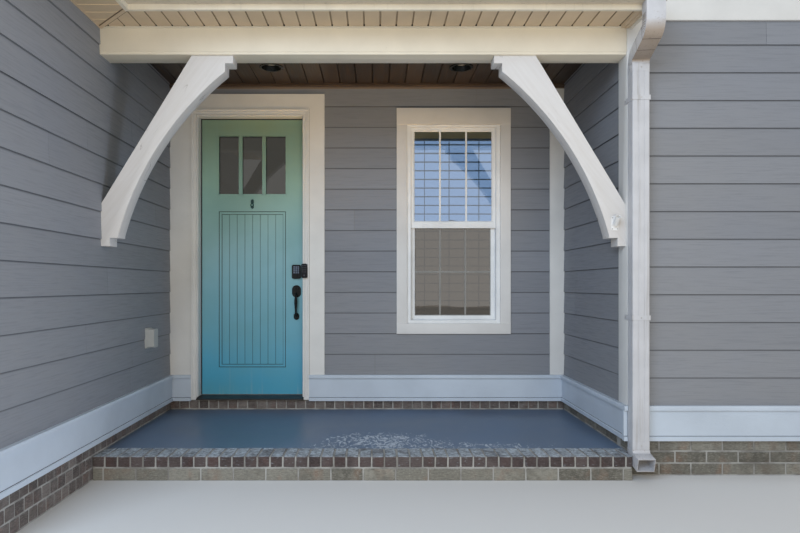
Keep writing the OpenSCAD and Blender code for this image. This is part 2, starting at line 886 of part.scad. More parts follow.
module door_knocker() {
    top_z = 1956;
    color("darkslategray") {
        at([leaf_cx, leaf_y0, top_z - 6]) rotate([90, 0, 0]) linear_extrude(6) round_rect(26, 40, 12);
        at([leaf_cx, leaf_y0, top_z]) rotate([90, 0, 0]) cylinder(r = 7, h = 24);
        at([leaf_cx, leaf_y0 - 18, top_z - 38]) rotate([90, 0, 0])
            rotate_extrude() translate([12, 0]) circle(3.5);
        box([leaf_cx - 3, leaf_y0 - 21, top_z - 24], [leaf_cx + 3, leaf_y0 - 15, top_z]);
        at([leaf_cx, leaf_y0, top_z - 54]) rotate([90, 0, 0]) cylinder(r1 = 8, r2 = 6, h = 18);
        at([leaf_cx, leaf_y0, top_z - 54]) rotate([90, 0, 0]) cylinder(r = 13, h = 4);
    }
}

// Window

module window_casing() {
    color("white") {
        for (s = [-1, 1]) {
            x = win_x + s * (win_w / 2 + side_casing / 2);
            box([x - side_casing / 2, y_trim, win_z], [x + side_casing / 2, y_wall, win_z1]);
        }
        box([win_x0 - side_casing, y_trim - 3, win_z1],
            [win_x1 + side_casing, y_wall, win_z1 + casing_w]);
        box([win_x0 - side_casing, y_trim - 3, win_z - side_casing],
            [win_x1 + side_casing, y_wall, win_z]);
    }
}

module window_frame() {
    color("white") difference() {
        box([win_x0, win_y0, win_z], [win_x1, win_y1, win_z1]);
        box([win_x0 + win_side, win_y0 - 1, win_z + win_sill],
            [win_x1 - win_side, win_y1 + 1, win_z1 - win_head]);
    }
}

// A sash between two heights, with its stile and rail widths
module sash(y, z0, z1, stile, low, high) {
    x0 = win_x0 + win_side;
    x1 = win_x1 - win_side;
    difference() {
        box([x0, y, z0], [x1, y + sash_t, z1]);
        box([x0 + stile, y - 1, z0 + low], [x1 - stile, y + sash_t + 1, z1 - high]);
    }
}

upper_stile = 28;
upper_rail = 26;
lower_stile = 38;
lower_rail = 38;

module upper_sash() {
    color("white")
        sash(upper_y, meet_z0, win_z1 - win_head, upper_stile, meet_z1 - meet_z0, upper_rail);
}

module lower_sash() {
    color("white")
        sash(lower_y, win_z + win_sill, meet_z1, lower_stile, lower_rail, meet_z1 - meet_z0);
}

module window_glass() {
    x0 = win_x0 + win_side;
    x1 = win_x1 - win_side;
    color("lightblue", 0.5) {
        box([x0 + upper_stile, upper_y + 8, meet_z1],
            [x1 - upper_stile, upper_y + 20, win_z1 - win_head - upper_rail]);
        box([x0 + lower_stile, lower_y + 8, win_z + win_sill + lower_rail],
            [x1 - lower_stile, lower_y + 20, meet_z0]);
    }
}

module window_blind() {
    y0 = win_y1 + 4;
    x0 = win_x - blind_w / 2;
    x1 = win_x + blind_w / 2;
    color("ivory") {
        box([x0, y0, headrail_z], [x1, y0 + slat_d, win_z1 - 26]);
        for (k = [0:slat_n - 1]) {
            z = slat_top_z - k * slat_pitch;
            box([x0, y0, z], [x1, y0 + slat_d, z + slat_t]);
        }
        for (dx = cord_x) {
            box([win_x + dx - 2, y0 + 23, slat_top_z - (slat_n - 1) * slat_pitch],
                [win_x + dx + 2, y0 + 27, headrail_z]);
        }
    }
}

module inside_casings() {
    reveal = 14;
    w = 70;
    y1 = y_in + 16;
    color("white") {
        difference() {
            box([open_x0 - reveal - w, y_in, brick_z], [open_x1 + reveal + w, y1, head_z + reveal + w]);
            box([open_x0 - reveal, y_in - 1, brick_z - 1], [open_x1 + reveal, y1 + 1, head_z + reveal]);
        }
        difference() {
            box([win_x0 - w, y_in, win_z - w], [win_x1 + w, y1, win_z1 + w]);
            box([win_x0, y_in - 1, win_z], [win_x1, y1 + 1, win_z1]);
        }
    }
}

// Fittings

bell_z = 1342;
outlet_cover_y = 143;
outlet_cover_z = 811;
outlet_cover_out = 72;
flag_x = 1612;
flag_z = 1610;
flag_tube_r = 17.5;
flag_bore_r = 13.2;
flag_tube_l = 64;
flag_floor = 8;

module doorbell() {
    seat = 6;
    color("dimgray") difference() {
        at([mould_x1 + 17, y_back - mould_front + seat, bell_z]) rotate([90, 0, 0]) {
            linear_extrude(17 + seat) round_rect(50, 122, 12);
            cylinder(r = 14, h = 20 + seat);
        }
        door_moulding();
    }
}

module outlet_cover() {
    color("gainsboro") at([-x_side, outlet_cover_y, outlet_cover_z]) rotate([90, 0, 90]) {
        linear_extrude(20) round_rect(100, 156, 8);
        linear_extrude(outlet_cover_out) round_rect(88, 142, 14);
    }
}

// Socket for a flagpole, tilted up at 45 degrees on its plate
module flag_holder() {
    tube_root = [flag_x, brace_y0 - 14, flag_z];
    color("white") difference() {
        union() {
            at([flag_x, brace_y0, flag_z + 7]) rotate([90, 0, 0]) linear_extrude(5)
                round_rect(48, 92, 10);
            at(tube_root) rotate([45, 0, 0]) cylinder(r = flag_tube_r, h = flag_tube_l);
            at([flag_x, brace_y0, flag_z]) rotate([90, 0, 0]) cylinder(r = flag_tube_r, h = 16);
        }
        at(tube_root) rotate([45, 0, 0]) translate([0, 0, flag_floor])
            cylinder(r = flag_bore_r, h = flag_tube_l);
        box([flag_x - 60, brace_y0, flag_z - 120], [flag_x + 60, brace_y0 + 60, flag_z + 120]);
    }
}

left_foundation();
back_foundation();
right_foundation();
porch_slab();
brick_edging();
left_wall();
back_wall_left();
back_wall_over_door();
back_wall_right();
return_wall();
right_wall();
skirt_boards();
corner_boards();
band_board();
beam();
brace_left();
brace_right();
ceiling();
ceiling_moulding();
downlights();
soffit();
fascia();
gutter_porch();
gutter_left();
downspout();
downspout_elbows();
downspout_straps();
roof_porch();
roof_left();
door_casing();
door_frame();
threshold();
frame_hinges();
window_casing();
window_frame();
upper_sash();
lower_sash();
window_glass();
window_blind();
inside_casings();
doorbell();
outlet_cover();
flag_holder();
door_leaf();
door_glass();
keypad_lock();
handle_set();
leaf_hinges();
door_knocker();
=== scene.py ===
"""Entrance porch: boards, bricks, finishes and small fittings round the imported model.

Metres, +Z up, +Y into the house. Places come from the frame's nodes where they can.
"""

import math
import random
from itertools import product

import bmesh
import bpy
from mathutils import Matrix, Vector


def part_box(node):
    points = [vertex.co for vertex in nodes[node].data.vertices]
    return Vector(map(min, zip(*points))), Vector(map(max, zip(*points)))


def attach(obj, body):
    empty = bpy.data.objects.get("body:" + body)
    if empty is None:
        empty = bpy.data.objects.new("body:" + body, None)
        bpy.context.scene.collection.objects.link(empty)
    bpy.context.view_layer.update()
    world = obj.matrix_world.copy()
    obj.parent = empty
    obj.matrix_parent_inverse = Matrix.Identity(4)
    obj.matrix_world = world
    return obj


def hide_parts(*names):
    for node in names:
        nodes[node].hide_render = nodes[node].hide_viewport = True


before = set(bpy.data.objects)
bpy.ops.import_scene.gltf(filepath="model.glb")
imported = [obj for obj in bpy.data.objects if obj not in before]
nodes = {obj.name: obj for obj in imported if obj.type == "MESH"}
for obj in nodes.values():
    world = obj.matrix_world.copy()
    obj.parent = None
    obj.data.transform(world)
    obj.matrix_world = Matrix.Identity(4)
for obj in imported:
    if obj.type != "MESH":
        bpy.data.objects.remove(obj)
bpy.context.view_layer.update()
PORCH, DOOR = "porch", "front_door"
UP, FRONT = (0, 0, 1), (0, -1, 0)

# Places that the nodes' boxes give
left_lo, left_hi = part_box("left_wall")
wing_lo, wing_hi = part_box("right_wall")
beam_lo, beam_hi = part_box("beam")
ceiling_lo, ceiling_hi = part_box("ceiling")
moulding_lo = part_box("ceiling_moulding")[0]
soffit_lo, soffit_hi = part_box("soffit")
edging_lo, edging_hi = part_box("brick_edging")
leaf_lo, leaf_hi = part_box("door_leaf")
sill_lo, sill_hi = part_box("threshold")
corner_lo, corner_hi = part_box("corner_boards")
pipe_lo, pipe_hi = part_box("downspout")
slab_x = left_hi.x                       # face of the side wall slabs, minus on the left
slab_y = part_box("back_wall_right")[0].y  # face of the door wall's slab
trim_y = slab_y - 0.017                  # face of the casings and the back corner board
skirt_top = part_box("skirt_boards")[1].z
floor_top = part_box("porch_slab")[1].z
corner_face_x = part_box("brace_right")[1].x

FASCIA_T = 0.024
EDGE_END_X = 1.675                       # the edging stops here in front of the wall line
CORNER_LEG = 0.143                       # side of the corner board that faces the porch
BACK_CORNER_W = 0.125                    # board in the corner beside the window
FOOT_W = 0.047                           # width of the block under the door's moulding
FAR = 9                                  # past every edge of a wall

# Lap siding
EXPOSURE = 0.1778
BUTT_T, TUCK_T = 0.008, 0.0012
BOARD_L = 3.66
BOARD_GAP = 0.0015

# Brickwork
BRICK_L, BRICK_H, BRICK_D, BED = 0.193, 0.066, 0.062, 0.010
ROWLOCK_W = 0.0694
HEADER_W = 0.0735                       # bricks on edge under the walls inside the porch
MORTAR_IN = 0.004


class Solids:
    """Solids gathered into one mesh. Each has a tone from 0 to 1, which its material may use."""

    def __init__(self, seed=1):
        self.verts, self.faces, self.tones = [], [], []
        self.random = random.Random(seed)

    def add(self, verts, faces, tone=None):
        start = len(self.verts)
        self.verts += [tuple(v) for v in verts]
        self.faces += [[start + i for i in f] for f in faces]
        self.tones += [self.random.random() if tone is None else tone] * len(faces)

    def loft(self, rings, tone=None, ends=True):
        """Rings of as many points each, joined in turn and shut by flat ends or into a loop."""
        n, count = len(rings[0]), len(rings)
        faces = [list(range(n)), list(range(n * (count - 1), n * count))] if ends else []
        for a in range(count - ends):
            b = (a + 1) % count
            faces += [[a * n + k, a * n + (k + 1) % n, b * n + (k + 1) % n, b * n + k]
                for k in range(n)]
        self.add([p for ring in rings for p in ring], faces, tone)

    def prism(self, outline, axis, a, b, tone=None):
        """An outline in the two other axes, in their order, pushed along an axis from a to b."""
        k = "xyz".index(axis)
        self.loft([[(*p[:k], t, *p[k:]) for p in outline] for t in (a, b)], tone)

    def turned(self, profile, centre, direction, n=20):
        """A profile of (radius, height) points turned round an axis."""
        turn = Vector(UP).rotation_difference(Vector(direction)).to_matrix()
        angles = [math.tau * k / n for k in range(n)]
        self.loft([[Vector(centre) + turn @ Vector((r * math.cos(a), r * math.sin(a), h))
            for a in angles] for r, h in profile])

    def screw(self, centre, direction, r=0.004):
        self.turned([(r, 0), (r, r * 0.25), (r * 0.8, r * 0.5), (r * 0.4, r * 0.62)],
            centre, direction, 10)

    def block(self, lo, hi, chamfer=0.0015, jitter=0.0, tone=None):
        """A box with chamfered edges. Its corners move by up to jitter."""
        verts = []
        for corner in product((0, 1), repeat=3):
            shift = [self.random.uniform(-jitter, jitter) for _ in range(3)]
            verts += [[
                (hi[k] if corner[k] else lo[k]) + shift[k]
                + (0 if k == axis else (-chamfer if corner[k] else chamfer))
                for k in range(3)] for axis in range(3)]
        faces = [[3 * c, 3 * c + 1, 3 * c + 2] for c in range(8)]
        step = (12, 6, 3)                # from a corner's points to those at an axis's far end
        for axis in range(3):
            u, v = [k for k in range(3) if k != axis]
            both = step[u] + step[v]
            for side in (axis, axis + step[axis]):
                faces.append([side + c for c in (0, step[u], both, step[v])])
            for a in (0, step[v], step[u], both):
                b = a + step[axis]
                faces.append([a + u, b + u, b + v, a + v])
        self.add(verts, faces, tone)

    def clip(self, point, normal):
        """Cuts away what lies on the side that the normal points to."""
        bm = self.as_bmesh()
        bmesh.ops.bisect_plane(bm, geom=bm.verts[:] + bm.edges[:] + bm.faces[:], dist=1e-6,
            plane_co=point, plane_no=normal, clear_outer=True)
        tone = bm.faces.layers.float.get("tone")
        rim = [e for e in bm.edges if e.is_boundary]
        for made in bmesh.ops.holes_fill(bm, edges=rim, sides=0)["faces"]:
            made[tone] = 0.5
        bm.verts.index_update()
        self.verts = [tuple(v.co) for v in bm.verts]
        self.faces = [[v.index for v in f.verts] for f in bm.faces]
        self.tones = [f[tone] for f in bm.faces]
        bm.free()

    def as_bmesh(self):
        bm = bmesh.new()
        made = [bm.verts.new(v) for v in self.verts]
        tone = bm.faces.layers.float.new("tone")
        for face, value in zip(self.faces, self.tones):
            bm.faces.new([made[i] for i in face])[tone] = value
        bmesh.ops.recalc_face_normals(bm, faces=bm.faces[:])
        return bm

    def build(self, name, look, body=PORCH, slot=None, replaces=(), smooth=False):
        mesh = bpy.data.meshes.new(name)
        bm = self.as_bmesh()
        bm.to_mesh(mesh)
        bm.free()
        if smooth:
            mesh.shade_smooth()
            mesh.set_sharp_from_angle(angle=math.radians(35))
        return seat(new_object(name, mesh), look, body, slot, replaces)


def new_object(name, data):
    obj = bpy.data.objects.new(name, data)
    bpy.context.scene.collection.objects.link(obj)
    return obj


def seat(obj, look, body, slot, replaces=()):
    """Gives a finished piece its material and the body that it rides on."""
    obj.data.materials.clear()
    obj.data.materials.append(look)
    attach(obj, body)
    if replaces:
        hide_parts(*replaces)
    return obj


class Field:
    """A value in a node tree. Sums with it are written as with numbers."""

    def __init__(self, net, socket):
        self.net, self.socket = net, socket

    def __add__(self, other):
        return self.net.math("ADD", self, other)

    def __sub__(self, other):
        return self.net.math("SUBTRACT", self, other)

    def __rsub__(self, other):
        return self.net.math("SUBTRACT", other, self)

    def __mul__(self, other):
        return self.net.math("MULTIPLY", self, other)

    def __truediv__(self, other):
        return self.net.math("DIVIDE", self, other)

    def __lt__(self, other):
        return self.net.math("LESS_THAN", self, other)

    def __gt__(self, other):
        return self.net.math("GREATER_THAN", self, other)

    def __abs__(self):
        return self.net.math("ABSOLUTE", self)


class Net:
    """A node tree whose nodes give and take fields."""

    def __init__(self, tree):
        self.tree = tree

    def node(self, kind, inputs, **settings):
        n = self.tree.nodes.new("ShaderNode" + kind)
        for key, value in settings.items():
            setattr(n, key, value)
        for key, value in inputs.items():
            self.feed(n.inputs[key], value)
        return n

    def feed(self, socket, value):
        if isinstance(value, Field):
            self.tree.links.new(value.socket, socket)
        else:
            socket.default_value = value

    def field(self, kind, inputs, output=0, **settings):
        return Field(self, self.node(kind, inputs, **settings).outputs[output])

    def math(self, operation, a, b=0.0):
        return self.field("Math", {0: a, 1: b}, operation=operation)


def shade(colour, factor):
    """The colour made lighter or darker by a factor."""
    return tuple(min(1.0, c * factor) for c in colour)


class Look(Net):
    """A material round one Principled shader. Its base colour is laid in coats, and each coat's
    tint is a colour, or a number that the look's own colour is multiplied by."""

    def __init__(self, name, colour, roughness, **sockets):
        self.mat = bpy.data.materials.new(name)
        self.mat.use_nodes = True
        super().__init__(self.mat.node_tree)
        self.shader = self.tree.nodes["Principled BSDF"].inputs
        self.base = self.colour = colour
        sockets.update(Base_Color=(*colour, 1), Roughness=roughness)
        for socket, value in sockets.items():
            self.shader[socket.replace("_", " ")].default_value = value
        coords = self.node("TexCoord", {}).outputs
        self.place, self.normal = Field(self, coords["Object"]), Field(self, coords["Normal"])
        parts = self.node("SeparateXYZ", {0: self.place}).outputs
        self.parts = [Field(self, part) for part in parts]

    def vector(self, x, y, z):
        return self.field("CombineXYZ", {0: x, 1: y, 2: z})

    def scaled(self, *scale):
        return self.field("VectorMath", {0: self.place, 1: scale}, operation="MULTIPLY")

    def dot(self, vector, direction):
        return self.field("VectorMath", {0: vector, 1: direction}, "Value",
            operation="DOT_PRODUCT")

    def facing(self, direction):
        """1 where the surface faces along a direction, 0 where it faces away."""
        return self.between(self.dot(self.normal, direction), 0.5, 0.8)

    def noise(self, vector, scale=1.0, detail=4.0, roughness=0.55, distortion=0.0):
        return self.field("TexNoise", {"Vector": vector, "Scale": scale, "Detail": detail,
            "Roughness": roughness, "Distortion": distortion}, "Fac")

    def between(self, value, low, high, to_low=0.0, to_high=1.0):
        """Maps low..high to to_low..to_high, held at both ends."""
        return self.field("MapRange", {"Value": value, "From Min": low, "From Max": high,
            "To Min": to_low, "To Max": to_high}, clamp=True)

    def tone(self):
        return self.field("Attribute", {}, "Fac", attribute_name="tone")

    def tint(self, value):
        """What a colour socket takes for a coat's tint."""
        if isinstance(value, (int, float)):
            value = shade(self.colour, value)
        return value if isinstance(value, Field) else (*value, 1)

    def mix(self, factor, a, b):
        """Tint a where the factor is 0 and tint b where it is 1."""
        return self.field("Mix", {0: factor, 6: self.tint(a), 7: self.tint(b)}, 2,
            data_type="RGBA")

    def start(self, field, low, high, a, b):
        """A first coat that goes from tint a to tint b as the field goes from low to high."""
        self.base = self.mix(self.between(field, low, high), a, b)

    def lay(self, factor, tint):
        self.base = self.mix(factor, self.base, tint)

    def over(self, field, low, high, most, tint):
        """A coat that is laid from not at all to most as the field goes from low to high."""
        self.lay(self.between(field, low, high, 0, most), tint)

    def finish(self, rough, *bumps):
        """Puts the coats and bumps on the shader. Rough is a field, or a field with the
        roughness at its low and high places. Each bump is a height and its depth in metres."""
        self.feed(self.shader["Base Color"], self.tint(self.base))
        if isinstance(rough, tuple):
            rough = self.between(rough[0], 0.3, 0.7, *rough[1:])
        if rough:
            self.feed(self.shader["Roughness"], rough)
        below = {}
        for height, depth in bumps:
            below = {"Normal": self.field("Bump",
                {"Height": height, "Distance": depth, "Strength": 1.0, **below})}
            self.feed(self.shader["Normal"], below["Normal"])
        return self.mat


# Materials

def paint_look(name, colour, strokes=(8, 8, 90)):
    """Brushed or sprayed paint with faint strokes and a little grime."""
    look = Look(name, colour, 0.42)
    cloud = look.noise(look.place, 2.3, 5)
    specks = look.noise(look.place, 60, 3)
    look.start(cloud, 0.35, 0.75, 1.03, 0.88)
    look.over(specks, 0.66, 0.8, 0.3, 0.72)
    return look.finish((cloud, 0.36, 0.54), (look.noise(look.scaled(*strokes), 3, 3), 0.0003),
        (specks, 0.0002))


def siding_look():
    """Painted fibre-cement boards with an embossed cedar grain along each board."""
    look = Look("siding_paint", (0.228, 0.242, 0.274), 0.6)
    x, y, z = look.parts
    run = x + y
    grain = look.noise(look.vector(run * 5.0, run * 0.7, z * 120.0), 1.0, 5, 0.6)
    broad = look.noise(look.vector(run * 1.3, 0.0, z * 26.0), 1.0, 3)
    look.base = look.mix(look.tone(), 0.94, 1.05)
    look.over(look.noise(look.place, 0.9, 4), 0.35, 0.7, 0.35, (0.268, 0.262, 0.25))
    look.over(grain, 0.5, 0.7, 0.34, 0.7)
    look.over(broad, 0.6, 0.8, 0.2, 1.18)
    # Painted shade, with some dirt, in the corner below each butt
    rise = look.math("FLOORED_MODULO", z - skirt_top, EXPOSURE)
    look.over(rise, EXPOSURE - 0.011, EXPOSURE - 0.004, 0.8, 0.3)
    return look.finish((grain, 0.5, 0.7), (grain, 0.0011), (broad, 0.0012),
        (look.noise(look.place, 500, 2), 0.0002))


def timber_look():
    """Painted solid timber with raised grain and drying cracks."""
    look = Look("painted_timber", (0.63, 0.615, 0.61), 0.5)
    x, y, z = look.parts
    reach, lean = abs(x), math.radians(52)       # the grain runs along the braces
    run = z * math.sin(lean) - reach * math.cos(lean)
    across = z * math.cos(lean) + reach * math.sin(lean)
    grain = look.noise(look.vector(run * 3.0, across * 55.0, y * 55.0), 1.0, 5, 0.6)
    split = look.noise(look.vector(run * 2.2, across * 19.0, y * 7.0), 1.0, 2, 0.4)
    patch = look.between(look.noise(look.place, 3.1, 3), 0.5, 0.6)
    crack = look.between(abs(split - 0.56), 0.0, 0.006, 1.0, 0.0) * patch
    look.over(grain, 0.4, 0.75, 0.5, (0.54, 0.51, 0.49))
    look.over(look.noise(look.place, 1.7, 4), 0.4, 0.7, 0.4, (0.69, 0.69, 0.71))
    look.lay(crack * 0.8, (0.2, 0.17, 0.14))
    return look.finish((grain, 0.42, 0.62), (grain, 0.0009), (1.0 - crack, 0.002))


def moulding_look():
    """Dark stained wood with its grain along the wall and a paler lip."""
    look = Look("stained_moulding", (0.075, 0.048, 0.034), 0.42)
    grain = look.noise(look.scaled(5, 5, 160), 1.0, 5, 0.62)
    look.start(grain, 0.35, 0.7, (0.040, 0.027, 0.020), (0.10, 0.068, 0.046))
    lip = look.between(look.parts[2], moulding_lo.z + 0.008, moulding_lo.z + 0.012, 1, 0)
    look.lay(lip, (0.17, 0.125, 0.085))
    return look.finish(None, (grain, 0.0006))


def stained_look():
    """Dark stained boards with knots, grain along Y and nearly black joints."""
    look = Look("stained_boards", (0.075, 0.048, 0.034), 0.42)
    x, y, z = look.parts
    board = look.tone()
    grain = look.noise(look.vector(x * 62.0, y * 2.6 + board * 40.0, z), 1.0, 5, 0.62)
    knot_at = look.vector(x * 9.0, y * 3.0 + board * 17.0, z)
    knots = look.field("TexVoronoi", {"Vector": knot_at, "Scale": 1.0}, "Distance")
    joint = look.between(z, ceiling_lo.z + 0.0015, ceiling_lo.z + 0.005, 0, 0.9)
    look.base = look.mix(board, (0.018, 0.013, 0.011), (0.045, 0.031, 0.023))
    look.over(grain, 0.47, 0.7, 0.85, (0.097, 0.067, 0.044))
    look.lay(look.between(knots, 0.05, 0.13, 0.85, 0), (0.018, 0.012, 0.009))
    look.lay(joint * (y < ceiling_hi.y), (0.007, 0.005, 0.004))
    return look.finish((grain, 0.34, 0.55), (grain, 0.0006))


def brick_look(name, face, pale, top):
    """Fired clay: each brick its own tone, sanded faces, worn grey on top, with painted sky light
    on the tops where their colour is pale blue.
    """
    look = Look(name, face, 0.85)
    sand = look.noise(look.place, 420, 3, 0.7)
    cloud = look.noise(look.place, 26, 4)
    fire = look.noise(look.scaled(1, 1, 0.6), 9, 3)
    mottle = look.noise(look.scaled(1, 1, 2.2), 62, 4, 0.7)
    worn = look.between(look.noise(look.place, 14, 5, 0.6), 0.35, 0.62)
    look.base = look.mix(look.tone(), 0.55, pale)
    look.over(fire, 0.5, 0.66, 0.6, (face[0] * 1.45, face[1], face[2] * 0.85))
    look.over(cloud, 0.4, 0.7, 0.6, 1.3)
    look.over(sand, 0.55, 0.75, 0.5, 0.4)
    look.over(mottle, 0.5, 0.62, 0.45, shade(pale, 1.25))
    # The tops: grey wear, and painted sky light where the top colour is pale blue
    top_wear_and_sky_light = look.mix(look.between(mottle, 0.42, 0.6), shade(top, 0.62), shade(top, 1.12))
    look.lay(look.facing(UP) * look.between(worn, 0, 1, 0.6, 1), top_wear_and_sky_light)
    look.over(look.noise(look.place, 5.5, 5, 0.65), 0.5, 0.62, 0.5, 0.6)
    look.over(look.noise(look.scaled(0.35, 0.35, 2.4), 80, 3, 0.6), 0.52, 0.62, 0.4, 0.35)
    look.over(look.noise(look.scaled(1, 1, 2.5), 34, 4), 0.6, 0.75, 0.25, shade(top, 1.1))
    return look.finish(None, (cloud, 0.0016), (sand, 0.0007))


def mortar_look():
    look = Look("mortar", (0.40, 0.395, 0.375), 0.95)
    sand = look.noise(look.place, 520, 3, 0.7)
    cloud = look.noise(look.place, 7, 4)
    look.over(cloud, 0.42, 0.62, 1, (0.22, 0.21, 0.195))
    look.over(sand, 0.5, 0.75, 0.6, (0.25, 0.24, 0.23))
    return look.finish(None, (sand, 0.0009), (cloud, 0.002))


def floor_look():
    """Blue-grey porch paint on trowelled concrete, scuffed to white near the step."""
    look = Look("painted_concrete", (0.125, 0.182, 0.275), 0.42)
    x, y = look.parts[:2]
    cloud = look.noise(look.place, 1.6, 5)
    fine = look.noise(look.place, 240, 3)
    # Scuffs lie in two ovals just behind the edging: centre, then half width and depth
    near = 0.0
    for cx, cy, w, d, most in ((0.13, -0.37, 0.50, 0.26, 1.0), (0.42, -0.52, 1.05, 0.12, 0.75)):
        dx, dy = (x - cx) / w, (y - cy) / d
        oval = look.between(dx * dx + dy * dy, 0.15, 1.0, most, 0.0)
        near = look.math("MAXIMUM", near, oval)
    swirl = look.noise(look.scaled(1.0, 0.5, 1.0), 17.0, 6.0, 0.65, 2.6)
    scuff = look.between(swirl + near * 0.14, 0.62, 0.67) * look.between(near, 0.0, 0.4)
    look.start(cloud, 0.35, 0.7, 0.86, 1.16)
    look.lay(scuff * 0.85, (0.60, 0.66, 0.74))
    look.over(fine, 0.6, 0.8, 0.25, 0.6)
    rough = look.between(cloud, 0.3, 0.7, 0.3, 0.5) + scuff * 0.3
    return look.finish(rough, (cloud, 0.0012), (fine, 0.0003), (scuff, -0.0004))


def metal_look(name, colour, roughness=0.35, streaks=0.0, metallic=0.0, shine=0.5):
    """Coated metal. Streaks are the dirt that rain draws down it."""
    look = Look(name, colour, roughness, Metallic=metallic, Specular_IOR_Level=shine)
    cloud = look.noise(look.place, 5, 4)
    look.start(cloud, 0.4, 0.7, 1.03, 0.9)
    if streaks:
        drip = look.noise(look.scaled(38, 38, 1.4), 1.0, 4, 0.6)
        look.over(drip, 0.56, 0.74, streaks, (0.25, 0.22, 0.18))
    return look.finish((cloud, roughness - 0.05, roughness + 0.1),
        (look.noise(look.place, 18, 2), 0.0004))


# Painted shade: the white coat made darker and bluer
PIPE_WHITE = (0.54, 0.545, 0.575)
ELBOW_RUN = Vector((0.100, 0.961, -0.259))      # along the slope between the two bends


def elbow_look(*seams):
    """The downspout's coat with warm painted shade and some dirt underneath, rust specks and dark
    lap lines.
    """
    look = Look("elbow_aluminium", PIPE_WHITE, 0.35)
    cloud = look.noise(look.place, 9, 4)
    specks = look.noise(look.place, 95, 3)
    look.start(cloud, 0.4, 0.7, 1.05, 0.88)
    # Painted shade, warm and with some dirt, on the faces that look down
    downward_shade = look.dot(look.normal, (0.0, -0.25, -0.97))
    look.over(downward_shade, 0.35, 0.85, 0.75, (0.34, 0.245, 0.16))
    low = look.between(look.parts[2], 2.84, 2.72)
    look.lay(look.between(specks, 0.6, 0.72, 0, 0.7) * low, (0.17, 0.105, 0.06))
    along = look.dot(look.place, ELBOW_RUN)
    for place in seams:
        off = abs(along - Vector(place).dot(ELBOW_RUN))
        look.lay(look.between(off, 0.0016, 0.0034, 0.8, 0.0), (0.05, 0.04, 0.035))
    return look.finish((cloud, 0.3, 0.45), (look.noise(look.place, 18, 2), 0.0004))


def plastic_look(name, colour, roughness=0.4, grain=0.0002):
    look = Look(name, colour, roughness)
    cloud = look.noise(look.place, 6, 3)
    look.start(cloud, 0.4, 0.7, 1.03, 0.93)
    return look.finish((cloud, roughness, roughness + 0.1),
        (look.noise(look.place, 700, 2), grain))


def soffit_look(name, groove_light_factor):
    """Tan vinyl. The walls of its grooves are darker by a factor for painted shade, or lighter for
    painted light.
    """
    look = Look(name, (0.62, 0.485, 0.335), 0.55)
    look.start(look.noise(look.place, 3, 4), 0.35, 0.7, 1.05, 0.88)
    look.over(look.parts[2], soffit_lo.z + 0.001, soffit_lo.z + 0.003, 0.6, groove_light_factor)
    return look.finish(None, (look.noise(look.scaled(300, 300, 300), 1.0, 2), 0.0002))


def shingle_look():
    """Mineral granules on asphalt, each tab its own tone."""
    look = Look("shingles", (0.10, 0.10, 0.105), 0.95)
    grains = look.field("TexVoronoi", {"Vector": look.place, "Scale": 420.0}, "Color")
    grit = look.field("SeparateXYZ", {0: grains})
    look.base = look.mix(look.tone(), (0.055, 0.055, 0.06), (0.15, 0.145, 0.145))
    look.over(grit, 0.5, 1.0, 0.6, (0.27, 0.26, 0.25))
    return look.finish(None, (grit, 0.0012), (look.noise(look.place, 30, 3), 0.002))


def wall_look(name, outward):
    """Sheathing on the side that the boards cover, painted plasterboard elsewhere."""
    look = Look(name, (0.70, 0.685, 0.65), 0.7)
    look.over(look.noise(look.place, 1.2, 4), 0.35, 0.7, 1, 0.93)
    look.lay(look.facing(outward), (0.16, 0.14, 0.11))
    return look.finish(None, (look.noise(look.place, 160, 3), 0.0007))


def deck_look():
    """Sawn roof sheathing."""
    look = Look("roof_deck", (0.42, 0.30, 0.17), 0.8)
    grain = look.noise(look.scaled(5, 60, 60), 1.0, 5)
    look.over(grain, 0.35, 0.7, 1, 0.6)
    return look.finish(None, (grain, 0.0008))


def door_look():
    """Satin enamel on the door leaf, with painted light in its colour by height, and painted shade,
    with some dirt, in its grooves and along its panel's edge.
    """
    look = Look("door_paint", (0.165, 0.365, 0.37), 0.38)
    x, y, z = look.parts
    cloud = look.noise(look.place, 1.4, 4)
    strokes = look.noise(look.scaled(60, 60, 1.5), 1.0, 4)
    # Painted light: blue towards the foot, a lighter painted sheen at mid height and olive towards
    # the head, as light falls on the door
    look.start(z, 0.4, 1.5, (0.058, 0.365, 0.57), (0.288, 0.51, 0.565))
    look.over(z, 1.5, 2.1, 1, (0.318, 0.50, 0.415))
    look.over(z, 2.1, 2.6, 1, (0.24, 0.315, 0.205))
    look.over(cloud, 0.35, 0.7, 0.5, 0.9)
    foot = look.between(z, 0.27, 0.4, 0.12, 0.0)
    look.over(strokes + foot, 0.66, 0.8, 0.25, (0.36, 0.48, 0.50))
    # Everything sunk below the raised band is groove, but for the face of the panel
    band_d, panel_d, panel_half_w, edge_shade_w = 0.0034, 0.013, 0.2695, 0.004
    panel_mid_z, panel_half_h = 1.1835, 0.6585
    depth = look.math("MINIMUM", y - leaf_lo.y, leaf_hi.y - y)
    aside = abs(x - (leaf_lo.x + leaf_hi.x) / 2)
    off_face = abs(depth - panel_d) > 0.0003
    edge = look.math("MAXIMUM", aside > panel_half_w - edge_shade_w,
        abs(z - panel_mid_z) > panel_half_h - edge_shade_w)
    # Painted shade, with some dirt, in the grooves and along the edge of the panel's face
    groove_shade = look.math("MAXIMUM", off_face * 0.42, edge * 0.85)
    look.lay((depth > band_d) * groove_shade * (aside < panel_half_w + 0.026), 0.1)
    return look.finish((cloud, 0.32, 0.46), (look.noise(look.place, 330, 3), 0.0002),
        (strokes, 0.0003))


